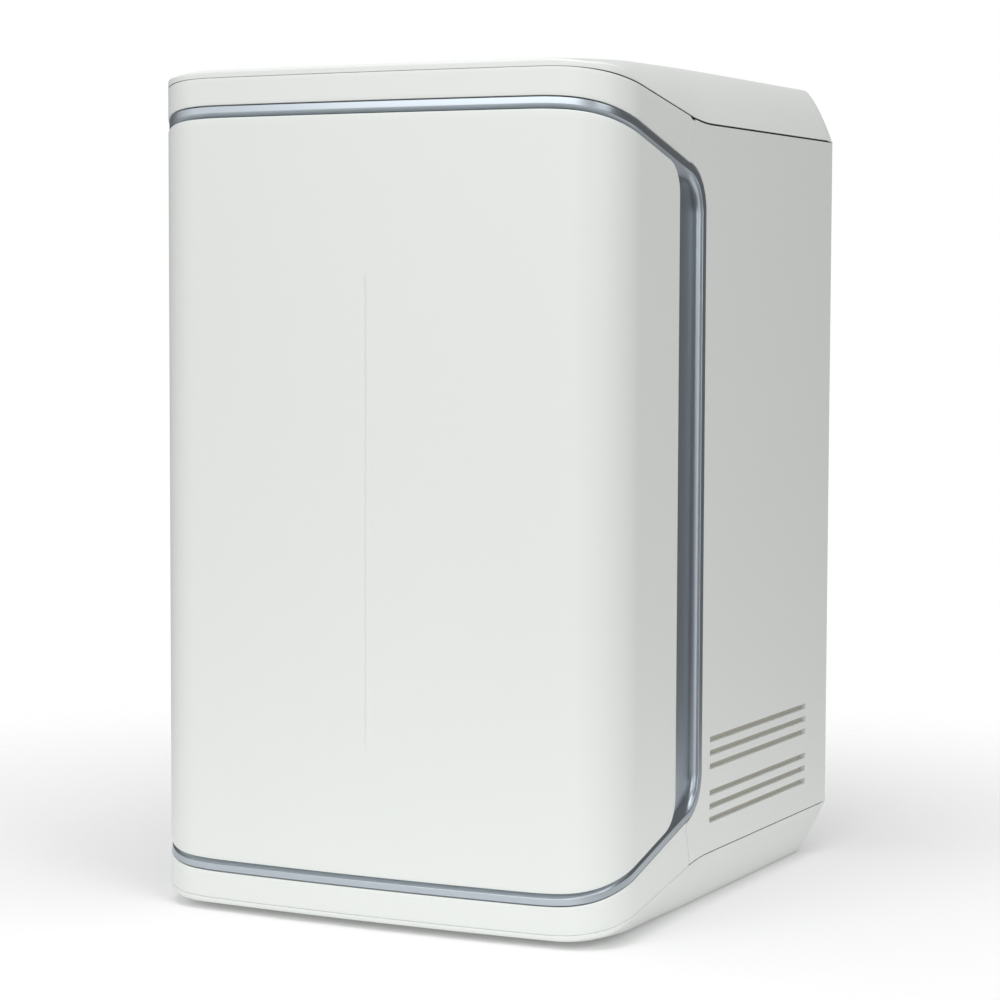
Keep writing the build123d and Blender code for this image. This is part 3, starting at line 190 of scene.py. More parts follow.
@dataclass(frozen=True)
class ClearFinish(Finish):
    """A clear finish, such as quartz: light passes with a faint tint."""

    passed: float = 0.85

    def material(self) -> bpy.types.Material:
        """Makes the clear material from the plain one.

        Returns:
            The material.
        """
        mat = super().material()
        shader = next(n for n in mat.node_tree.nodes if n.type == "BSDF_PRINCIPLED")
        shader.inputs["Transmission Weight"].default_value = self.passed
        return mat


# Case panels: injection moulded and painted off-white; a soft even sheen, no visible texture.
SHELL = Finish(
    "painted_abs_shell", "E4E7E4", 0.42, grain_mm=0.9, relief=0.03, drift=0.006, rough_drift=0.03
)
# Groove ring: moulded and metallised dark silver; satin metal that takes on what is before it.
TRIM = Finish(
    "satin_silver_trim",
    "B4BCC3",
    0.32,
    1.0,
    grain_mm=0.35,
    relief=0.02,
    drift=0.02,
    rough_drift=0.03,
)
# Inside of the covers: painted shade, a dark and dull coat on the inner faces so that the open
# seams read as black shadow lines.
SEAM_SHADE = Finish("painted_seam_shade", "232527", 0.70, grain_mm=0.5, relief=0.1, drift=0.05)
# Bay and liner: grey moulded plastic with a fine spark-eroded texture; dull, with no highlight.
MOULDING = Finish("textured_grey_abs", "A9ADB0", 0.62, grain_mm=0.6, relief=0.16, drift=0.03)
# Vent screens: the same plastic moulded in a warmer grey; it closes the slots to the eye.
SCREEN = Finish("warm_grey_abs", "C2C0B6", 0.60, grain_mm=0.6, relief=0.12, drift=0.02)
# Packs: blown polypropylene; waxy white with broad, soft highlights and slight waves.
PACK = Finish(
    "waxy_polypropylene", "E6E7E3", 0.38, ior=1.49, grain_mm=2.5, relief=0.08, drift=0.02
)
# Lock rings: moulded blue acetal; the one strong colour, easy to find by eye.
RING = Finish("blue_acetal", "2F6FA8", 0.40, ior=1.48, grain_mm=0.7, relief=0.08)
# Heads and small fittings: moulded nylon with glass fibre; dark, dull and slightly mottled.
NYLON = Finish("glass_filled_nylon", "3A3C3F", 0.58, grain_mm=0.5, relief=0.2, drift=0.06)
# Rear fittings and fan: black moulded plastic; its edges catch a thin line of light.
BLACK = Finish("black_moulded_abs", "17181A", 0.45, grain_mm=0.6, relief=0.12, drift=0.08)
# Rear panel and chassis: powder coated sheet; a fine orange peel breaks up the highlights.
POWDER = Finish("powder_coated_sheet", "C9CBC9", 0.55, grain_mm=1.2, relief=0.18, drift=0.02)
# Brackets, motors and screws: zinc plated steel with a faint drawn grain; grey, half mirror.
ZINC = Finish(
    "zinc_plated_steel", "A8AAAC", 0.34, 1.0, grain=Grain.ALONG_Z, grain_mm=0.4, relief=0.05
)
# Pins, rods and reactor: brushed stainless steel; highlights drawn out along the grain.
STAINLESS = Finish(
    "brushed_stainless", "B4B5B6", 0.30, 1.0, grain=Grain.ALONG_Z, grain_mm=0.4, relief=0.06
)
# End plates: machined aluminium; a cool light grey with fine tool marks across.
ALUMINIUM = Finish(
    "machined_aluminium", "C3C5C8", 0.36, 1.0, grain=Grain.ALONG_X, grain_mm=0.5, relief=0.05
)
# Feet: moulded rubber; dark and matt, it swallows the light under the case.
RUBBER = Finish("moulded_rubber", "1B1B1C", 0.80, grain_mm=0.8, relief=0.2, drift=0.1)
# Seals: smooth silicone rubber; dark with a small clear highlight round each ring.
SEAL = Finish("smooth_seal_rubber", "202022", 0.45, grain_mm=0.8, relief=0.05, drift=0.05)
# Circuit board: green solder mask over copper; glossy, uneven where the tracks run below it.
BOARD = Finish("green_solder_mask", "1F5B3A", 0.35, grain_mm=3.0, relief=0.25, drift=0.15)
# Tubes: extruded polyethylene; milky, smooth, with a long soft highlight.
TUBE = Finish("polyethylene_tube", "E9EAE6", 0.40, ior=1.51, grain_mm=1.5, relief=0.03)
# Collets: moulded white acetal; clean bright rings against the black ports.
ACETAL = Finish("white_acetal", "DCDDDA", 0.38, ior=1.48, grain_mm=0.7, relief=0.05)
# Lamp: drawn clear quartz; seen by its rim and its sharp highlight only.
QUARTZ = ClearFinish("clear_quartz", "EEF2F5", 0.05, ior=1.46, grain_mm=5.0, relief=0.01)

FINISH_NODES: dict[Finish, str] = {
    SHELL: "top_cover base_tray upper_bezel lower_bezel side_panel_left side_panel_right door_skin",
    SCREEN: "vent_screen_left vent_screen_right",
    TRIM: "trim_ring",
    MOULDING: "service_bay door_liner",
    NYLON: "pack_head_left pack_head_right door_magnets reverse_osmosis_caps feed_pump_head"
    " recirculation_pump_head valve_manifold",
    PACK: "pretreatment_pack polishing_pack reverse_osmosis_housing deionisation_core",
    RING: "lock_ring_left lock_ring_right",
    SEAL: "o_rings_left o_rings_right",
    RUBBER: "rubber_feet",
    POWDER: "chassis rear_panel",
    ZINC: "power_supply case_screws hinge_bracket_lower hinge_bracket_upper hinge_arm_lower"
    " hinge_arm_upper door_strikes feed_pump_motor recirculation_pump_motor",
    STAINLESS: "hinge_pins deionisation_tie_rods ultraviolet_reactor fan_guard conductivity_cells",
    ALUMINIUM: "deionisation_end_plates",
    QUARTZ: "ultraviolet_lamp",
    BOARD: "control_board",
    BLACK: "mains_inlet switch_frame rocker_switch fan_frame fan_rotor solenoid_valves drain_port"
    " product_port feed_port",
    ACETAL: "drain_collet product_collet feed_collet",
    TUBE: "internal_tubes",
}
NODE_FINISH = {node: finish for finish, nodes in FINISH_NODES.items() for node in nodes.split()}


def make_piece(
    name: str, points: Array, faces: Faces, finish: Finish, body: str
) -> bpy.types.Object:
    """Puts points and faces into a mesh, dresses it and lets it ride on a body.

    Args:
        name: the piece's name.
        points: vertices in metres, one per row.
        faces: vertex numbers of each face.
        finish: its finish.
        body: the body that it moves with.

    Returns:
        The piece.
    """
    mesh = bpy.data.meshes.new(name)
    mesh.from_pydata(points.tolist(), [], faces)
    mesh.validate()
    mesh.shade_smooth()
    mesh.set_sharp_from_angle(angle=SMOOTH_TURN)
    mesh.materials.append(finish.material())
    piece = bpy.data.objects.new(name, mesh)
    bpy.context.scene.collection.objects.link(piece)
    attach(piece, body)
    return piece


def quads(index: Array, turned: bool) -> Faces:
    """Four-sided faces between neighbouring rows and columns of point numbers.

    Args:
        index: the point numbers, row by row.
        turned: whether the faces look the other way.

    Returns:
        A list of four point numbers each.
    """
    corners = index[:-1, :-1], index[:-1, 1:], index[1:, 1:], index[1:, :-1]
    faces = np.stack(corners, -1).reshape(-1, 4)
    return (faces[:, ::-1] if turned else faces).tolist()


def grid_faces(rows: int, columns: int, start: int = 0, turned: bool = False) -> Faces:
    """Faces of a grid of points stored row by row, from a start number."""
    return quads(start + np.arange(rows * columns).reshape(rows, columns), turned)


def ring_faces(loops: int, count: int, start: int = 0, turned: bool = False) -> Faces:
    """Faces between closed loops of equal length, stored one after the other."""
    index = start + np.arange(loops * count).reshape(loops, count)
    return quads(np.concatenate([index, index[:, :1]], 1), turned)


def outward(loop: Array) -> Array:
    """Outward offsets of a closed loop in the plane.

    The offset of a point is the sum of its two edges' normals, over 1 plus their product, so that a
    loop moved by it keeps its edges at the same distance.

    Args:
        loop: points, clockwise.

    Returns:
        One offset per point.
    """
    loop = loop[::-1]
    normals = []
    for edge in (loop - np.roll(loop, 1, 0), np.roll(loop, -1, 0) - loop):
        unit = edge / np.maximum(np.linalg.norm(edge, axis=1, keepdims=True), 1e-12)
        normals.append(np.stack([unit[:, 1], -unit[:, 0]], 1))
    first, second = normals
    return ((first + second) / (1 + (first * second).sum(1, keepdims=True)))[::-1]


def ruled(low: Array, high: Array, share: Array) -> Array:
    """Rows of points on straight lines from a low to a high edge, at each share of the way."""
    return low[None] + (high - low)[None] * share[:, None, None]


def smooth(t: Array) -> Array:
    """Goes from 0 to 1 as t does, level at both ends: 3 t squared less 2 t cubed."""
    t = np.clip(t, 0, 1)
    return t * t * (3 - 2 * t)


def welded(points: Array, faces: Faces) -> tuple[Array, Faces, Array]:
    """Joins points that lie together and drops faces with no area.

    Points whose coordinates round to the same multiple of the weld's size become one. A corner that
    repeats an earlier one of its face goes, and so does a face left with fewer than three.

    Args:
        points: vertices in metres.
        faces: vertex numbers, four per face.

    Returns:
        The joined points, the kept faces, and whether each given face was kept.
    """
    keys = np.round(points / WELD_M).astype(np.int64)
    _, first, back = np.unique(keys, axis=0, return_index=True, return_inverse=True)
    corners = back.reshape(-1)[np.array(faces)]
    own = ~np.tril(corners[:, :, None] == corners[:, None, :], -1).any(-1)
    kept = own.sum(1) > 2
    return points[first], [f[k].tolist() for f, k in zip(corners[kept], own[kept])], kept


@dataclass
class CasePlan:
    """The case's plan: a bowed front, two round corners and straight sides.

    Lengths are in mm, and y counts back from the front; the result is in metres in the frame.
    """

    width: float = 305.2
    depth: float = 349.2
    front_radius: float = 1846.0
    corner_radius: float = 34.0
    low_rim: float = 3.5
    high_rim: float = 498.5
    bend_from: float = 90.0
    bend_to: float = 176.0

    def __post_init__(self) -> None:
        """Works out the corner's centre and the runs at which the arcs end."""
        self.half: float = self.width / 2
        self.corner_x: float = self.half - self.corner_radius
        gap = self.front_radius - self.corner_radius
        self.corner_y: float = self.front_radius - sqrt(gap**2 - self.corner_x**2)
        self.turn: float = atan2(self.corner_x, self.front_radius - self.corner_y)
        self.front_run: float = self.front_radius * self.turn
        self.corner_run: float = self.front_run + self.corner_radius * (pi / 2 - self.turn)
        self.bend_y: float = self.front_radius - self.front_radius * cos(self.turn)
        self.mid: float = (self.low_rim + self.high_rim) / 2

    def flip(self, z: Array) -> Array:
        """The height as far from the lower rim as the given one is from the upper rim."""
        return 2 * self.mid - z

    def turned_over(self, points: Array, faces: Faces) -> tuple[Array, Faces]:
        """The same piece mirrored at the middle height, with its faces kept outward."""
        return points * (1, 1, -1) + (0, 0, 2 * self.mid * MM), [f[::-1] for f in faces]

    def stations(self, end: float, count: int) -> Array:
        """Runs from the front's middle to an end: wide steps, fine ones in the bend, even ones.

        Args:
            end: the last run.
            count: points from the bend's end to the last run.

        Returns:
            Rising runs in mm.
        """
        front = np.linspace(0, self.bend_from, 20)
        bend = np.linspace(self.bend_from, self.bend_to, 80)[1:]
        return np.concatenate([front, bend, np.linspace(self.bend_to, end, count)[1:]])

    def wrap(self, run: Array, z: Array, depth: Array) -> Array:
        """Wraps unrolled points round the plan.

        The run is the length along the outer plan from the middle of the front. A point lies at
        the arc's centre plus its radius less its depth, at the angle run over radius; past the
        corner it lies on the side.

        Args:
            run: unrolled length in mm, negative to the left.
            z: height in mm.
            depth: how far inside the outer plan in mm.

        Returns:
            Points in metres.
        """
        run, z, depth = np.broadcast_arrays(np.asarray(run, float), z, depth)
        way = np.where(run < 0, -1.0, 1.0)
        s = np.abs(run)
        front = np.minimum(s, self.front_run) / self.front_radius
        x = (self.front_radius - depth) * np.sin(front)
        y = self.front_radius - (self.front_radius - depth) * np.cos(front)
        past = np.clip(s - self.front_run, 0, self.corner_run - self.front_run)
        turn = self.turn + past / self.corner_radius
        corner = s > self.front_run
        x = np.where(corner, self.corner_x + (self.corner_radius - depth) * np.sin(turn), x)
        y = np.where(corner, self.corner_y - (self.corner_radius - depth) * np.cos(turn), y)
        y = y + np.maximum(s - self.corner_run, 0)
        return np.stack([x * way, y - self.depth / 2, z], -1) * MM

    def run_at(self, y: Array) -> Array:
        """The run at which the outer plan reaches a distance back.

        It is the angle at which the front's arc, then the corner's, reaches that distance, times
        the radius; on the side it grows with the distance.

        Args:
            y: distance back in mm.

        Returns:
            Runs in mm.
        """
        y = np.asarray(y, float)
        front = self.front_radius * np.arccos(np.clip(1 - y / self.front_radius, -1, 1))
        turn = np.arccos(np.clip((self.corner_y - y) / self.corner_radius, -1, 1))
        corner = self.front_run + (turn - self.turn) * self.corner_radius
        side = self.corner_run + y - self.corner_y
        return np.where(y < self.bend_y, front, np.where(y < self.corner_y, corner, side))

    def inside(self, x: Array, y: Array) -> Array:
        """How deep a point lies inside the plan.

        It is the lesser of the depths under the front's arc and the side, or in the corner's angle
        the depth under the corner's arc.

        Args:
            x: across in mm.
            y: distance back in mm.

        Returns:
            Depths in mm.
        """
        ax = np.abs(x)
        front = self.front_radius - np.hypot(ax, y - self.front_radius)
        side = self.half - ax
        corner = self.corner_radius - np.hypot(ax - self.corner_x, y - self.corner_y)
        angle = np.arctan2(ax - self.corner_x, self.corner_y - y)
        in_corner = (ax > self.corner_x) & (y < self.corner_y) & (angle > self.turn)
        return np.where(in_corner, corner, np.minimum(front, side))


@dataclass(frozen=True)
class Bend:
    """A drop below the upper rim along the run: level, eased round the corner, then falling evenly.

    Two cubic arcs with one curvature where they meet take it from level to its slope. The middle
    and the end are runs past the start, each with the drop there below the level.
    """

    level: float
    start: float
    middle: tuple[float, float]
    end: tuple[float, float]
    slope: float

    def drop(self, run: Array) -> Array:
        """The drop at a run, the same on both sides.

        Each arc is a cubic through its ends' drops with the slopes there; the slope where they meet
        is the one that gives both the same curvature.

        Args:
            run: runs in mm.

        Returns:
            Drops in mm.
        """
        past = np.maximum(np.abs(run) - self.start, 0)
        a, b = self.middle[0], self.end[0] - self.middle[0]
        p, q = self.middle[1], self.end[1] - self.middle[1]
        m = (3 * (p / a**2 + q / b**2) - self.slope / b) / (2 / a + 2 / b)
        t = np.clip(past / a, 0, 1)
        first = p * (3 * t**2 - 2 * t**3) + m * a * (t**3 - t**2)
        u = np.clip((past - a) / b, 0, 1)
        second = q * (3 * u**2 - 2 * u**3) + m * b * (u - 2 * u**2 + u**3)
        second = second + self.slope * b * (u**3 - u**2)
        beyond = self.slope * np.maximum(past - self.end[0], 0)
        return self.level + first + np.where(past > a, second, 0) + beyond


@dataclass
class Outline:
    """Side outline of the door or the groove: level, falling along the side, round at the back."""

    plan: CasePlan
    bend: Bend
    back_y: float
    corner: float

    def upper(self, inset: float = 0.0, count: int = 24) -> Array:
        """The outline's upper edge from the left rear to the right rear.

        A round corner of the given radius joins the falling edge to the upright one: it leaves the
        falling edge at a reach of the radius times the tangent of half its turn before the knee. An
        inset moves each point along the edge's normal.

        Args:
            inset: how far the outline is drawn in.
            count: points on the round corner.

        Returns:
            A run and a height per point.
        """
        plan = self.plan
        fall = atan(self.bend.slope)
        turn = pi / 2 - fall
        knee = float(plan.run_at(self.back_y))
        reach = self.corner * tan(turn / 2)
        run = plan.stations(knee - reach * cos(fall), 10)
        z = plan.high_rim - self.bend.drop(run)
        centre_z = plan.high_rim - float(self.bend.drop(knee)) - reach
        angle = np.linspace(turn, 0, count)[1:]
        arc_run = knee - self.corner + self.corner * np.cos(angle)
        arc_z = centre_z + self.corner * np.sin(angle)
        right = np.stack([np.concatenate([run, arc_run]), np.concatenate([z, arc_z])], 1)
        if inset:
            tangent = np.gradient(right, axis=0)
            tangent[0] = (1, 0)
            tangent[-1] = (0, -1)
            tangent /= np.linalg.norm(tangent, axis=1, keepdims=True)
            right = right + inset * np.stack([tangent[:, 1], -tangent[:, 0]], 1)
        left = right[:0:-1] * (-1, 1)
        return np.concatenate([left, right])

    def loop(self, inset: float = 0.0, rows: int = 40) -> Array:
        """The closed outline, clockwise from the left rear along the top.

        Args:
            inset: how far the outline is drawn in.
            rows: points on each upright edge, with its ends.

        Returns:
            A run and a height per point.
        """
        flip = self.plan.flip
        top = self.upper(inset)
        down = np.linspace(top[-1, 1], flip(top[-1, 1]), rows)[1:-1]
        right = np.stack([np.full_like(down, top[-1, 0]), down], 1)
        bottom = np.stack([top[::-1, 0], flip(top[::-1, 1])], 1)
        left = np.stack([np.full_like(down, top[0, 0]), down[::-1]], 1)
        return np.concatenate([top, right, bottom, left])


@dataclass
class Seam:
    """The seam under the top cover: its height along the run, and how far it stands open.

    The level is the distance back at which the seam ends its fall, and its drop there. A from is
    the run at which the gap begins to change, and an over is the length that the change takes.
    """

    plan: CasePlan
    bend: Bend = Bend(4.45, 107.1, (42.9, 4.10), (61.5, 8.17), 0.182)
    joint_y: float = 118.0
    level: tuple[float, float] = (146.0, 30.1)
    front_gap: float = 0.07
    side_gap: float = 0.32
    rear_gap: float = 0.7
    end_gap: float = -0.35
    corner_from: float = 118.0
    corner_over: float = 40.0
    joint_over: float = 6.0
    shut_before: float = 7.0
    shut_over: float = 4.0

    @property
    def joint(self) -> float:
        """The run of the joint between the bezel and the side panel."""
        return float(self.plan.run_at(self.joint_y))

    def height(self, run: Array) -> Array:
        """The seam's height: the bend down to the joint, then one cubic arc that ends level.

        Args:
            run: runs in mm.

        Returns:
            Heights in mm.
        """
        run = np.abs(run)
        span = float(self.plan.run_at(self.level[0])) - self.joint
        start = float(self.bend.drop(self.joint))
        rise = self.level[1] - start
        u = np.clip((run - self.joint) / span, 0, 1)
        ease = start + self.bend.slope * span * (u - 2 * u**2 + u**3) + rise * (3 * u**2 - 2 * u**3)
        return self.plan.high_rim - np.where(run < self.joint, self.bend.drop(run), ease)

    def gap(self, run: Array) -> Array:
        """How far the cover stands off: least in front, most over the panel, shut at the end.

        Args:
            run: runs in mm.

        Returns:
            Gaps in mm.
        """
        run = np.abs(run)
        end = float(self.plan.run_at(self.plan.depth))
        turn = smooth((run - self.corner_from) / self.corner_over)
        behind = smooth((run - self.joint) / self.joint_over)
        shut = smooth((run - end + self.shut_before) / self.shut_over)
        gap = self.front_gap + (self.side_gap - self.front_gap) * turn
        gap = gap + (self.rear_gap - self.side_gap) * behind
        return gap + (self.end_gap - self.rear_gap) * shut


@dataclass(frozen=True)
class FineLine:
    """A fine upright line pressed into a face, in mm: its run, half width, ends and depth."""

    run: float = -2.3
    half: float = 1.5
    low: float = 109.1
    high: float = 374.1
    deep: float = 0.8
    fade: float = 0.6

    def depth(self, run: Array, z: Array) -> Array:
        """Depth of the line: full on its run, eased out to both sides and faded past its ends.

        Args:
            run: runs in mm.
            z: heights in mm.

        Returns:
            Depths in mm.
        """
        across = 1 - smooth(np.abs(run - self.run) / self.half)
        above = np.clip((self.high - z) / self.fade + 1, 0, 1)
        return self.deep * across * (above * np.clip((z - self.low) / self.fade + 1, 0, 1))

    def runs(self) -> Array:
        """Runs on both sides of the line that carry its section."""
        extra = self.half * np.linspace(0.1, 1.2, 9)
        return np.concatenate([self.run + extra, self.run - extra])


@dataclass
class Slab:
    """A wall of even thickness on the case's plan, with a rounded outer edge."""

    plan: CasePlan
    thickness: float = 3.0
    round: float = 0.8
    rows: int = 40
    steps: int = 4

    def build(
        self, top: Array, bottom: Array, line: FineLine | None = None
    ) -> tuple[Array, Faces, Array]:
        """Builds the wall between its top and bottom lines.

        The edge is a quarter round: at angle a the loop is drawn in by r times (1 - cos a), at a
        depth of r times (1 - sin a). The face is ruled between the drawn-in top and bottom lines.

        Args:
            top: runs and heights from left to right.
            bottom: the same number of points along the bottom.
            line: a fine line in the face, or nothing.

        Returns:
            What the weld of the wall's points and faces gives.
        """
        share = np.linspace(0, 1, self.rows)
        right = bottom[-1] + (top[-1] - bottom[-1]) * share[::-1, None]
        left = bottom[0] + (top[0] - bottom[0]) * share[:, None]
        loop = np.concatenate([top, right[1:-1], bottom[::-1], left[1:-1]])
        out = outward(loop)
        layers = [self.plan.wrap(loop[:, 0], loop[:, 1], self.thickness)]
        for a in np.linspace(0, pi / 2, self.steps + 1):
            rim = loop - out * self.round * (1 - cos(a))
            layers.append(self.plan.wrap(rim[:, 0], rim[:, 1], self.round * (1 - sin(a))))
        inner = loop - out * self.round
        columns, rows = len(top), self.rows
        inner_bottom = inner[columns + rows - 2 : 2 * columns + rows - 2][::-1]
        grid = ruled(inner_bottom, inner[:columns], share)
        depth = line.depth(grid[..., 0], grid[..., 1]) if line else 0.0
        face = self.plan.wrap(grid[..., 0], grid[..., 1], depth).reshape(-1, 3)
        grid = ruled(bottom, top, share)
        back = self.plan.wrap(grid[..., 0], grid[..., 1], self.thickness).reshape(-1, 3)
        rings = np.concatenate(layers)
        faces = ring_faces(len(layers), len(loop), turned=True)
        faces += grid_faces(rows, columns, len(rings))
        faces += grid_faces(rows, columns, len(rings) + len(face), turned=True)
        return welded(np.concatenate([rings, face, back]), faces)


@dataclass
class Door:
    """The wrap-round door's outer skin."""

    plan: CasePlan
    outline: Outline
    thickness: float = 3.0
    edge: float = 1.0
    rows: int = 120
    line: FineLine = FineLine()

    def build(self) -> bpy.types.Object:
        """Builds the skin with its rounded rim and the fine upright line in its middle.

        Returns:
            The skin.
        """
        top = self.outline.upper()
        runs = np.unique(np.concatenate([top[:, 0], self.line.runs()]))
        top = np.stack([runs, np.interp(runs, top[:, 0], top[:, 1])], 1)
        bottom = np.stack([runs, self.plan.flip(top[:, 1])], 1)
        slab = Slab(self.plan, self.thickness, self.edge, self.rows)
        points, faces, _ = slab.build(top, bottom, self.line)
        piece = make_piece("door_outer_skin", points, faces, SHELL, "door")
        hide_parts("door_skin")
        return piece


@dataclass
class Bezels:
    """The strips above and below the door, wrapped round both front corners.

    A notch is the depth and the length of the cut at a strip's rear ends, which it eases into
    over a share of its length.
    """

    plan: CasePlan
    seams: tuple[Seam, Seam]
    groove: Outline
    low_end_y: float = 112.1
    joint_gap: float = 0.15
    notches: tuple[tuple[float, float], tuple[float, float]] = ((1.5, 8.0), (0.6, 2.0))
    notch_ease: float = 0.6
    thickness: float = 3.0
    edge: float = 0.45

    def strip(self, seam: Seam, notch: tuple[float, float]) -> tuple[Array, Faces]:
        """One strip, between the groove and a seam, the way up that it has above the door.

        The groove's side ends further forward than the seam's: past the corner the seam's runs are
        stretched by the share of the way to the end, times the difference.

        Args:
            seam: the seam along its outer edge.
            notch: depth and length of the cut at its rear ends.

        Returns:
            Points and faces.
        """
        plan = self.plan
        line = self.groove.upper()
        high_end = seam.joint - self.joint_gap
        low_end = float(plan.run_at(self.low_end_y)) - self.joint_gap
        half = plan.stations(low_end, 40)
        runs = np.concatenate([-half[:0:-1], half])
        stretch = np.clip((np.abs(runs) - plan.corner_run) / (low_end - plan.corner_run), 0, 1)
        high_runs = runs + np.sign(runs) * stretch * (high_end - low_end)
        bottom = np.stack([runs, np.interp(runs, line[:, 0], line[:, 1])], 1)
        past = np.abs(high_runs) - high_end + notch[1]
        cut = notch[0] * smooth(past / (notch[1] * self.notch_ease))
        top = np.stack([high_runs, seam.height(high_runs) - seam.gap(high_runs) - cut], 1)
        points, faces, _ = Slab(plan, self.thickness, self.edge, 8, 3).build(top, bottom)
        return points, faces

    def build(self) -> list[bpy.types.Object]:
        """Builds the upper strip, and the lower one turned over.

        Returns:
            Both strips.
        """
        pieces = []
        for name, seam, notch in zip(("upper_bezel", "lower_bezel"), self.seams, self.notches):
            points, faces = self.strip(seam, notch)
            if name == "lower_bezel":
                points, faces = self.plan.turned_over(points, faces)
            piece = make_piece(name + "_strip", points, faces, SHELL, "case")
            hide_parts(name)
            pieces.append(piece)
        return pieces


@dataclass(frozen=True)
class CoverForm:
    """Lengths in mm in which the top cover and the base tray differ."""

    crown: float
    tilt: float
    crown_run: float
    rim_fall: float
    rim_fall_radius: float
    facet_inset: float
    facet_bulge: float
    front_soft: float
    rear_lean: float


@dataclass
class Covers:
    """Top cover and base tray: one moulded form, turned over and of other lengths for the tray."""

    plan: CasePlan
    seams: tuple[Seam, Seam]
    forms: tuple[CoverForm, CoverForm]
    rim_round: float = 1.7
    front_fade: float = 30.0
    soft: float = 2.3
    soft_run: float = 60.0
    edge: float = 0.3
    least_rise: float = 0.02
    lean_rise: float = 30.0
    lean_run: float = 20.0
    wall: float = 2.5
    foot_share: float = 0.25
    rear_recess: float = 22.0
    deck_gap: float = 0.2

    def roof(self, x: Array, y: Array, seam: Seam, form: CoverForm) -> Array:
        """Height of the outer surface.

        It is the soft least of three surfaces: the crowned and slightly tilted roof, lowered near
        the front edge by a parabola and a quarter round, and on each side a facet that rises from
        the seam to the roof's edge with a slight bulge.
        The soft least of a and b is the least minus a quarter of h squared over k, with
        h = max(k - |a - b|, 0); k is larger near the front, where the facet runs out.

        Args:
            x: across in mm.
            y: back from the front in mm.
            seam: the seam that it rises from.
            form: the cover's or the tray's own lengths.

        Returns:
            Heights in mm.
        """
        plan = self.plan
        top = plan.high_rim + form.crown + form.tilt * y / plan.depth
        rise = 1 - np.clip(1 - y / form.crown_run, 0, 1) ** 2
        roof = plan.high_rim + form.crown * rise + form.tilt * y / plan.depth
        depth = np.maximum(plan.inside(x, y), 0)
        front = np.clip((plan.corner_y + self.front_fade - y) / self.front_fade, 0, 1)
        fall = np.maximum(form.rim_fall - depth, 0) ** 2 / (2 * form.rim_fall_radius)
        near = np.maximum(self.rim_round - depth, 0)
        quarter = self.rim_round - np.sqrt(np.maximum(self.rim_round**2 - near**2, 0))
        roof = roof - front * (fall + quarter)
        run = plan.run_at(y)
        foot = seam.height(run) + seam.gap(run)
        u = (plan.half - np.abs(x)) / form.facet_inset
        slope = (top - foot) / form.facet_inset
        hump = np.clip(u, 0, 1) * (1 - np.clip(u, 0, 1))
        facet = foot + u * (top - foot) + form.facet_bulge * 4 * hump * np.sqrt(1 + slope**2)
        soft = self.soft + form.front_soft * (1 - smooth(y / self.soft_run))
        h = np.maximum(soft - np.abs(roof - facet), 0)
        return np.minimum(roof, facet) - h**2 / (4 * soft)

    def stations(self) -> Array:
        """Runs of the rows of the sheet: down the front, round the corner and along the side.

        Returns:
            Rising runs in mm.
        """
        plan = self.plan
        front = np.linspace(0, 0.97, 30) ** 0.8 * plan.front_run
        corner = np.linspace(plan.front_run, plan.corner_run, 34)
        side = plan.corner_run + np.linspace(0, plan.depth - plan.corner_y, 60)[1:]
        return np.concatenate([front, corner, side])

    def across(self) -> Array:
        """Shares of the half width at which a row has its points, close together near the sides.

        Returns:
            Shares from -1 to 1.
        """
        rim = [0, 0.05, 0.15, 0.3, 0.5, 0.8, 1.2, 1.7, 2.3, 3, 3.8, 5, 6.5, 8, 9.5, 11, 12.5, 14]
        near = np.concatenate([rim, np.linspace(15, 22, 12), [24, 27, 30]])
        side = np.concatenate([near, np.linspace(30, self.plan.half, 12)[1:]]) / self.plan.half
        return np.concatenate([-(1 - side), (1 - side)[::-1][1:]])

    def sheet(self, seam: Seam, form: CoverForm) -> Array:
        """The outer sheet, on rows from side to side, closed down to the seam and the back.

        Each row spans the plan's width at its run. The rearmost rows lean forward with height, by
        the rear lean over the facet's rise. Both ends of a row turn in under the edge, and the last
        row drops to the seam's height.

        Args:
            seam: the seam along its foot.
            form: the cover's or the tray's own lengths.

        Returns:
            Rows of points in mm.
        """
        plan = self.plan
        runs, t = self.stations(), self.across()
        edge = plan.wrap(runs, 0.0, 0.0) / MM
        x = edge[:, :1] * t[None]
        y = np.repeat((edge[:, 1] + plan.depth / 2)[:, None], len(t), 1)
        low = seam.height(runs) + seam.gap(runs)
        least = (low + self.edge + self.least_rise)[:, None]
        z = np.maximum(self.roof(x, y, seam, form), least)
        rise = np.clip((z - plan.high_rim + self.lean_rise) / self.lean_rise, 0, None)
        rear = np.clip((y - plan.depth + self.lean_run) / self.lean_run, 0, 1)
        top = np.stack([x, y - form.rear_lean * rear * rise - plan.depth / 2, z], -1)
        ends = []
        for way in (-1, 1):
            under = plan.wrap(runs * way, low, self.edge)
            corner = plan.wrap(runs * way, low + self.edge, 0)
            ends.append(np.stack([under / MM, corner / MM][::-way], 1))
        sheet = np.concatenate([ends[0], top, ends[1]], 1)
        back = sheet[-1:].copy()
        back[..., 2] = low[-1]
        back[..., 1] = plan.depth / 2
        return np.concatenate([sheet, back], 0)

    def lining(self, sheet: Array, foot: Array) -> Array:
        """The inner sheet: the outer one drawn in by the wall in plan and lowered by it.

        Args:
            sheet: the outer sheet's rows.
            foot: the height at which each row ends.

        Returns:
            Rows of points in mm.
        """
        inner = sheet.copy()
        inner[..., :2] *= 1 - self.wall / np.array([self.plan.half, self.plan.depth / 2])
        inner[..., 2] = np.maximum(sheet[..., 2] - self.wall, foot[:, None])
        inner[:, (0, 1, -2, -1), 2] = foot[:, None]
        inner[-1, :, 2] = foot[-1]
        return inner

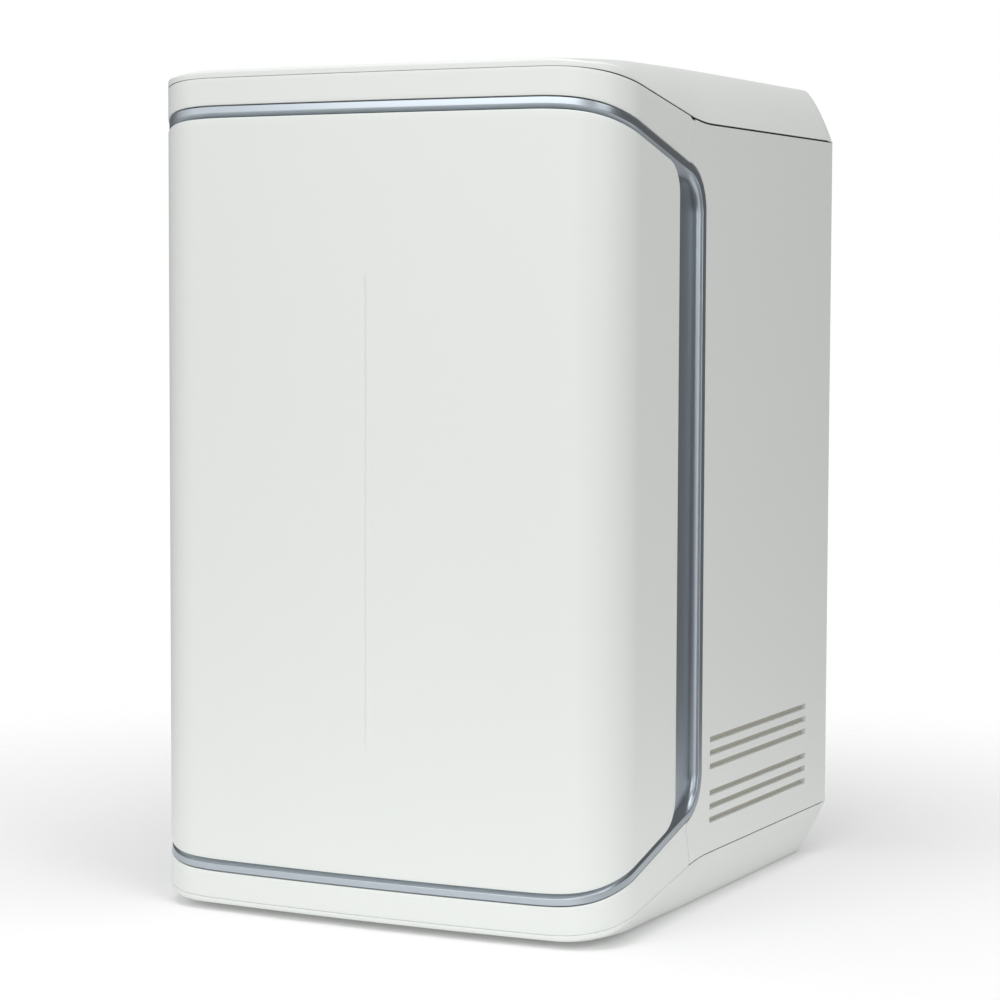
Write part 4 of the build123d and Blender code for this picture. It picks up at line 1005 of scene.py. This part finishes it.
    def shell(self, seam: Seam, form: CoverForm) -> tuple[Array, Faces, int]:
        """One closed shell, the way up of the cover: outer sheet, deck, lining and their rims.

        Args:
            seam: the seam along its foot.
            form: the cover's or the tray's own lengths.

        Returns:
            Points, faces, and how many of the faces are on the outside.
        """
        sheet = self.sheet(seam, form)
        runs = self.stations()
        foot = seam.height(runs) - self.foot_share * seam.gap(runs)
        foot = np.append(foot, foot[-1])
        inner = self.lining(sheet, foot)
        deck = self.deck(float(foot[-1]) + self.edge)
        rows, columns = sheet.shape[:2]
        faces = grid_faces(rows, columns) + self.deck_faces(rows * columns)
        outside = len(faces)
        grids = [
            (inner, True),
            (np.stack([sheet[:, 0], inner[:, 0]]), False),
            (np.stack([sheet[:, -1], inner[:, -1]]), True),
            (np.stack([sheet[-1], inner[-1]]), False),
        ]
        start = rows * columns + len(deck)
        for grid, turned in grids:
            faces += grid_faces(*grid.shape[:2], start, turned)
            start += grid.shape[0] * grid.shape[1]
        parts = [sheet.reshape(-1, 3), deck] + [grid.reshape(-1, 3) for grid, _ in grids]
        points, faces, kept = welded(np.concatenate(parts) * MM, faces)
        return points, faces, int(kept[:outside].sum())

    def deck(self, z: float) -> Array:
        """Corners of the strip that closes the recess between the set-back panel and the rear wall.

        Args:
            z: height of its lower face.

        Returns:
            The lower, then the upper four corners in mm.
        """
        x = self.plan.half - self.wall - self.deck_gap
        y = self.plan.depth / 2 - np.array([self.rear_recess, self.edge])
        loop = np.array([(-x, y[0]), (x, y[0]), (x, y[1]), (-x, y[1])])
        levels = [np.column_stack([loop, np.full(4, z + step)]) for step in (0, self.wall)]
        return np.concatenate(levels)

    def deck_faces(self, start: int) -> Faces:
        """Sides, underside and top of the strip, whose first point has the start number."""
        caps = [[start + i for i in (3, 2, 1, 0)], [start + i for i in (4, 5, 6, 7)]]
        return ring_faces(2, 4, start) + caps

    def build(self) -> list[bpy.types.Object]:
        """Builds the cover, and the tray turned over; the inside of each is painted dark as seam
        shade.

        Returns:
            Both shells.
        """
        pieces = []
        for node, seam, form in zip(("top_cover", "base_tray"), self.seams, self.forms):
            points, faces, outside = self.shell(seam, form)
            if node == "base_tray":
                points, faces = self.plan.turned_over(points, faces)
            piece = make_piece(node + "_shell", points, faces, SHELL, "case")
            # Painted shade: the inner faces take the dark coat, so the seams read as black shadow
            # lines.
            piece.data.materials.append(SEAM_SHADE.material())
            side = (np.arange(len(faces)) >= outside).astype(np.int32)
            piece.data.polygons.foreach_set("material_index", side)
            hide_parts(node)
            pieces.append(piece)
        return pieces


@dataclass
class TrimRing:
    """The silver ring in the groove: a flat land, a soft crease and a hollow down to a floor.

    The floor runs on under the door. The knee is how far before the groove's rear edge, and how
    high, its round upper corner has its middle.
    """

    plan: CasePlan
    groove: Outline
    door: Outline
    gap: float = 0.6
    side_gap: float = 0.1
    land: float = 4.2
    land_depth: float = 0.6
    side_land_depth: float = 0.05
    crease: float = 0.6
    hollow: float = 3.8
    floor_depth: float = 5.0
    under: float = 10.0
    thickness: float = 1.6
    front_slope: float = 45.0
    skirt: float = 3.0
    edge: float = 0.25
    knee: tuple[float, float] = (7.0, 447.0)
    corner_gap: float = 0.8
    corner_reach: float = 9.0
    blend_before: float = 30.0
    blend_over: float = 26.0

    @property
    def back_run(self) -> float:
        """The run of the groove's rear edge."""
        return float(self.plan.run_at(self.groove.back_y))

    def slack(self, loop: Array) -> Array:
        """How much further in the ring sits round the groove's upper rear corners.

        It is a bell about the corner's middle: the gap times e to the minus square of the distance
        over the reach.

        Args:
            loop: runs and heights.

        Returns:
            Lengths in mm.
        """
        across = np.abs(loop[:, 0]) - (self.back_run - self.knee[0])
        away = np.hypot(across, loop[:, 1] - self.knee[1])
        return self.corner_gap * np.exp(-((away / self.corner_reach) ** 2))

    def sections(self) -> tuple[Array, Array]:
        """Sections across the ring in front and on the sides, with the same number of points.

        Land, then the crease going in, then the hollow down to the floor. In front the crease turns
        by the slope's angle and the hollow is that slope; on the sides the crease is a quarter
        round and the hollow a quarter round below it.

        Returns:
            Insets from the groove's edge and depths in mm, for the front and for the sides.
        """
        land_end = self.gap + self.land - self.crease
        creases, starts = [], []
        for turn, gap, depth in (
            (radians(self.front_slope), self.gap, self.land_depth),
            (pi / 2, self.side_gap, self.side_land_depth),
        ):
            a = np.linspace(0, turn, 7)
            inset = land_end + self.crease * np.sin(a)
            creases.append(np.stack([inset, depth + self.crease * (1 - np.cos(a))], 1))
            rim = [[gap, self.skirt], [gap, depth + self.edge], [gap + self.edge, depth]]
            starts.append(np.array(rim))
        drop = self.floor_depth - creases[0][-1, 1]
        t = np.linspace(0.02, 1, 9)[:, None]
        slope = creases[0][-1] + t * (drop / tan(radians(self.front_slope)), drop)
        b = np.linspace(0, pi / 2, 9)
        inset = self.gap + self.land + self.hollow * (1 - np.cos(b))
        hollow = np.stack([inset, self.floor_depth - self.hollow + self.hollow * np.sin(b)], 1)
        front = np.concatenate([starts[0], creases[0], slope])
        return front, np.concatenate([starts[1], creases[1], hollow])

    def build(self) -> bpy.types.Object:
        """Carries the section round the groove, then rules the floor to the hole under the door.

        Near the rear knees the two sections are mixed point by point by the share of the way.

        Returns:
            The ring.
        """
        wrap = self.plan.wrap
        loop = self.groove.loop()
        out = outward(loop)
        layers = []
        slack = self.slack(loop)
        past = np.abs(loop[:, 0]) - self.back_run + self.blend_before
        side = smooth(past / self.blend_over)
        for front_point, side_point in zip(*self.sections()):
            inset, depth = (front_point[i] * (1 - side) + side_point[i] * side for i in (0, 1))
            kept = np.clip(1 - (inset - self.gap) / (self.land + self.hollow), 0, 1)
            line = loop - out * (inset + slack * kept)[:, None]
            layers.append(wrap(line[:, 0], line[:, 1], depth))
        start = line
        hole = self.door.loop(self.under)
        for share in np.linspace(0, 1, 7)[1:]:
            line = start + (hole - start) * share
            layers.append(wrap(line[:, 0], line[:, 1], self.floor_depth))
        layers.append(wrap(hole[:, 0], hole[:, 1], self.floor_depth + self.thickness))
        faces = ring_faces(len(layers), len(loop), turned=True)
        points, faces, _ = welded(np.concatenate(layers), faces)
        piece = make_piece("silver_groove_ring", points, faces, TRIM, "case")
        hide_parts("trim_ring")
        return piece


@dataclass
class SidePanels:
    """Both side panels, with the edges of their outline and vents broken. Angles in degrees."""

    edge: float = 0.2
    edge_segments: int = 2
    edge_turn: float = 60.0
    flat_turn: float = 0.5
    sharp_turn: float = 30.0

    def merged_copy(self, node: bpy.types.Object, name: str) -> bpy.types.Object:
        """Copies a node's mesh, merges its loose triangles and joins flat neighbours.

        Args:
            node: the CAD node.
            name: the copy's name.

        Returns:
            The copy, linked to the scene.
        """
        mesh = bpy.data.meshes.new(name)
        work = bmesh.new()
        work.from_mesh(node.data)
        bmesh.ops.remove_doubles(work, verts=work.verts, dist=WELD_M)
        bmesh.ops.dissolve_limit(
            work, angle_limit=radians(self.flat_turn), verts=work.verts, edges=work.edges
        )
        work.to_mesh(mesh)
        work.free()
        mesh.shade_smooth()
        mesh.set_sharp_from_angle(angle=radians(self.sharp_turn))
        piece = bpy.data.objects.new(name, mesh)
        bpy.context.scene.collection.objects.link(piece)
        return piece

    def build(self) -> list[bpy.types.Object]:
        """Copies each panel's mesh and breaks its sharp edges.

        Returns:
            Both panels.
        """
        pieces = []
        for side in ("left", "right"):
            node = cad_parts["side_panel_" + side]
            piece = self.merged_copy(node, "side_panel_skin_" + side)
            piece.data.materials.clear()
            piece.data.materials.append(SHELL.material())
            bevel = piece.modifiers.new("edge", "BEVEL")
            bevel.width = self.edge * MM
            bevel.segments = self.edge_segments
            bevel.limit_method = "ANGLE"
            bevel.angle_limit = radians(self.edge_turn)
            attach(piece, "case")
            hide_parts("side_panel_" + side)
            pieces.append(piece)
        return pieces


@dataclass(frozen=True)
class Softbox:
    """A rectangular lamp, in metres. A strength of s gives off a radiance of s at any size."""

    name: str
    place: tuple[float, float, float]
    target: tuple[float, float, float]
    width: float
    height: float
    strength: float

    def build(self) -> None:
        """Makes the lamp and aims it at its target."""
        data = bpy.data.lights.new(self.name, "AREA")
        data.shape = "RECTANGLE"
        data.size = self.width
        data.size_y = self.height
        data.energy = self.strength * pi * self.width * self.height
        ahead = np.array(self.target, float) - np.array(self.place, float)
        ahead /= np.linalg.norm(ahead)
        right = np.cross(ahead, (0, 0, 1))
        right /= np.linalg.norm(right)
        aim(bpy.data.objects.new(self.name, data), self.place, right, np.cross(right, ahead), ahead)


def aim(
    item: bpy.types.Object, place: tuple[float, float, float], right: Array, up: Array, ahead: Array
) -> None:
    """Stands a lamp or camera at a place, looking along its own minus Z, and links it.

    Args:
        item: the lamp or camera.
        place: where it stands.
        right: unit vector to its right.
        up: unit vector to its top.
        ahead: unit vector that it looks along.
    """
    turn = Matrix((right, up, -ahead)).transposed().to_4x4()
    item.matrix_world = Matrix.Translation(place) @ turn
    bpy.context.scene.collection.objects.link(item)


@dataclass
class Studio:
    """Camera, lamps, surroundings and floor. Lengths in metres, angles in degrees.

    The fill is the world's light; dark and bright are what mirrors show of it. The floor keeps its
    shadow up to the near radius and is gone at the far one.
    """

    focal_px: float = 2857.39
    image_px: float = 1000.0
    sensor_mm: float = 36.0
    half_pixel: float = 0.5
    yaw: float = 26.557
    pitch: float = 4.029
    roll: float = 0.204
    place: tuple[float, float, float] = (0.79994, -1.60419, 0.36539)
    view_end: float = 50.0
    lamps: tuple[Softbox, ...] = (
        Softbox("front_softbox", (-0.32, -2.45, 1.15), (0, 0, 0.25), 2.4, 1.7, 1.45),
        Softbox("top_softbox", (0.2, -0.5, 2.4), (0, 0, 0.2), 1.8, 1.8, 2.5),
        Softbox("right_fill", (2.1, -1.3, 1.2), (0, 0, 0.25), 1.2, 1.6, 1.9),
    )
    fill: float = 0.485
    dark: float = 0.18
    bright: float = 1.0
    bright_way: tuple[float, float, float] = (-0.35, -0.93, -0.1)
    bright_range: tuple[float, float] = (0.15, 0.85)
    floor_colour: str = "EFEFEF"
    floor_lift: float = 0.10
    floor_range: tuple[float, float] = (0.27, 0.85)
    floor_radii: tuple[float, ...] = (0.02, 0.4, 0.8, 1.6, 3.0)
    floor_steps: int = 96

    def camera(self) -> None:
        """Turns the solved view to a camera: yaw, then pitch, then roll about its axis."""
        yaw, pitch, roll = radians(self.yaw), radians(self.pitch), radians(self.roll)
        ahead = np.array([-sin(yaw) * cos(pitch), cos(yaw) * cos(pitch), -sin(pitch)])
        right = np.array([cos(yaw), sin(yaw), 0.0])
        up = np.cross(right, ahead)
        right, up = cos(roll) * right + sin(roll) * up, cos(roll) * up - sin(roll) * right
        data = bpy.data.cameras.new("photo_camera")
        data.sensor_width = self.sensor_mm
        data.lens = self.focal_px / self.image_px * self.sensor_mm
        data.shift_x = -self.half_pixel / self.image_px
        data.shift_y = self.half_pixel / self.image_px
        data.clip_end = self.view_end
        camera = bpy.data.objects.new("photo_camera", data)
        aim(camera, self.place, right, up, ahead)
        bpy.context.scene.camera = camera

    def surroundings(self) -> None:
        """A pale grey world that the camera sees as white.

        In mirror directions it is bright towards the front left and darker to the right and the
        back, as a studio with its lamps on one side is: metal shows the change, the plastic hardly
        does.
        """
        world = bpy.data.worlds.new("studio")
        bpy.context.scene.world = world
        world.use_nodes = True
        tree = world.node_tree
        tree.nodes.clear()
        path = add(tree, "ShaderNodeLightPath").outputs
        way = add(tree, "ShaderNodeTexCoord").outputs["Generated"]
        dot = {"operation": "DOT_PRODUCT"}
        facing = add(tree, "ShaderNodeVectorMath", dot, i0=way, i1=self.bright_way)
        side = add(
            tree,
            "ShaderNodeMapRange",
            {"interpolation_type": "SMOOTHSTEP"},
            Value=facing.outputs["Value"],
            From_Min=self.bright_range[0],
            From_Max=self.bright_range[1],
            To_Min=self.dark,
            To_Max=self.bright,
        ).outputs["Result"]
        seen: float | bpy.types.NodeSocket = self.fill
        for ray, shown in (
            ("Is Glossy Ray", side),
            ("Is Transmission Ray", self.bright),
            ("Is Camera Ray", 1.0),
        ):
            seen = add(tree, "ShaderNodeMix", i0=path[ray], i2=seen, i3=shown).outputs[0]
        sky = add(tree, "ShaderNodeBackground", Color=linear("FFFFFF"), Strength=seen)
        add(tree, "ShaderNodeOutputWorld", Surface=sky.outputs["Background"])

    def paper(self) -> bpy.types.Material:
        """The floor's material: white paper, a little lifted, that turns clear with distance.

        Returns:
            The material.
        """
        mat = bpy.data.materials.new("white_paper_floor")
        mat.use_nodes = True
        tree = mat.node_tree
        tree.nodes.clear()
        place = add(tree, "ShaderNodeTexCoord").outputs["Object"]
        away = add(tree, "ShaderNodeVectorMath", {"operation": "LENGTH"}, i0=place)
        paper = add(tree, "ShaderNodeBsdfDiffuse", Color=linear(self.floor_colour))
        glow = add(tree, "ShaderNodeEmission", Color=linear("FFFFFF"), Strength=self.floor_lift)
        both = add(tree, "ShaderNodeAddShader", i0=paper.outputs[0], i1=glow.outputs[0])
        clear = add(tree, "ShaderNodeBsdfTransparent")
        fade = add(
            tree,
            "ShaderNodeMapRange",
            {"interpolation_type": "SMOOTHSTEP"},
            Value=away.outputs["Value"],
            From_Min=self.floor_range[0],
            From_Max=self.floor_range[1],
        ).outputs["Result"]
        mixed = add(tree, "ShaderNodeMixShader", i0=fade, i1=both.outputs[0], i2=clear.outputs[0])
        add(tree, "ShaderNodeOutputMaterial", Surface=mixed.outputs[0])
        return mat

    def floor(self) -> None:
        """Makes the round floor: rings of points at each radius, with a cap in the middle."""
        ring = np.linspace(0, 2 * pi, self.floor_steps + 1)[:-1]
        x, y = (np.outer(self.floor_radii, turned) for turned in (np.cos(ring), np.sin(ring)))
        points = np.stack([x, y, np.zeros_like(x)], -1).reshape(-1, 3)
        faces = ring_faces(len(self.floor_radii), self.floor_steps, turned=True)
        mesh = bpy.data.meshes.new("studio_floor")
        mesh.from_pydata(points.tolist(), [], faces + [list(range(self.floor_steps))])
        mesh.materials.append(self.paper())
        floor = bpy.data.objects.new("studio_floor", mesh)
        bpy.context.scene.collection.objects.link(floor)

    def build(self) -> None:
        """Sets the view transform, camera, lamps, surroundings and floor."""
        bpy.context.scene.view_settings.view_transform = "Standard"
        self.camera()
        for lamp in self.lamps:
            lamp.build()
        self.surroundings()
        self.floor()


def dress_nodes() -> None:
    """Gives every CAD node its finish, also those that a new piece then replaces."""
    for name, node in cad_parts.items():
        node.data.materials.clear()
        node.data.materials.append(NODE_FINISH[name].material())


def main() -> None:
    """Builds the studio, then each sub-assembly in order."""
    logging.basicConfig(level=logging.INFO, format="%(message)s")
    Studio().build()
    dress_nodes()
    plan = CasePlan()
    seams = Seam(plan), Seam(plan, front_gap=0.03, side_gap=0.03, rear_gap=0.2)
    groove_bend = Bend(20.34, 103.0, (44.1, 5.18), (65.1, 11.92), 0.275)
    door_bend = Bend(27.71, 94.3, (50.7, 4.57), (77.4, 13.10), 0.275)
    groove = Outline(plan, groove_bend, back_y=135.7, corner=29.0)
    door = Outline(plan, door_bend, back_y=96.3, corner=20.0)
    cover_form = CoverForm(
        crown=2.7,
        tilt=1.4,
        crown_run=198.0,
        rim_fall=4.2,
        rim_fall_radius=39.0,
        facet_inset=18.0,
        facet_bulge=1.95,
        front_soft=13.6,
        rear_lean=2.5,
    )
    tray_form = CoverForm(
        crown=3.0,
        tilt=0.0,
        crown_run=272.0,
        rim_fall=10.5,
        rim_fall_radius=33.5,
        facet_inset=13.9,
        facet_bulge=0.5,
        front_soft=16.3,
        rear_lean=10.6,
    )
    for maker in (
        Door(plan, door),
        Bezels(plan, seams, groove),
        Covers(plan, seams, (cover_form, tray_form)),
        TrimRing(plan, groove, door),
        SidePanels(),
    ):
        made = maker.build()
        for piece in made if isinstance(made, list) else [made]:
            LOG.info("%s: %d faces", piece.name, len(piece.data.polygons))


if __name__ == "__main__":
    main()
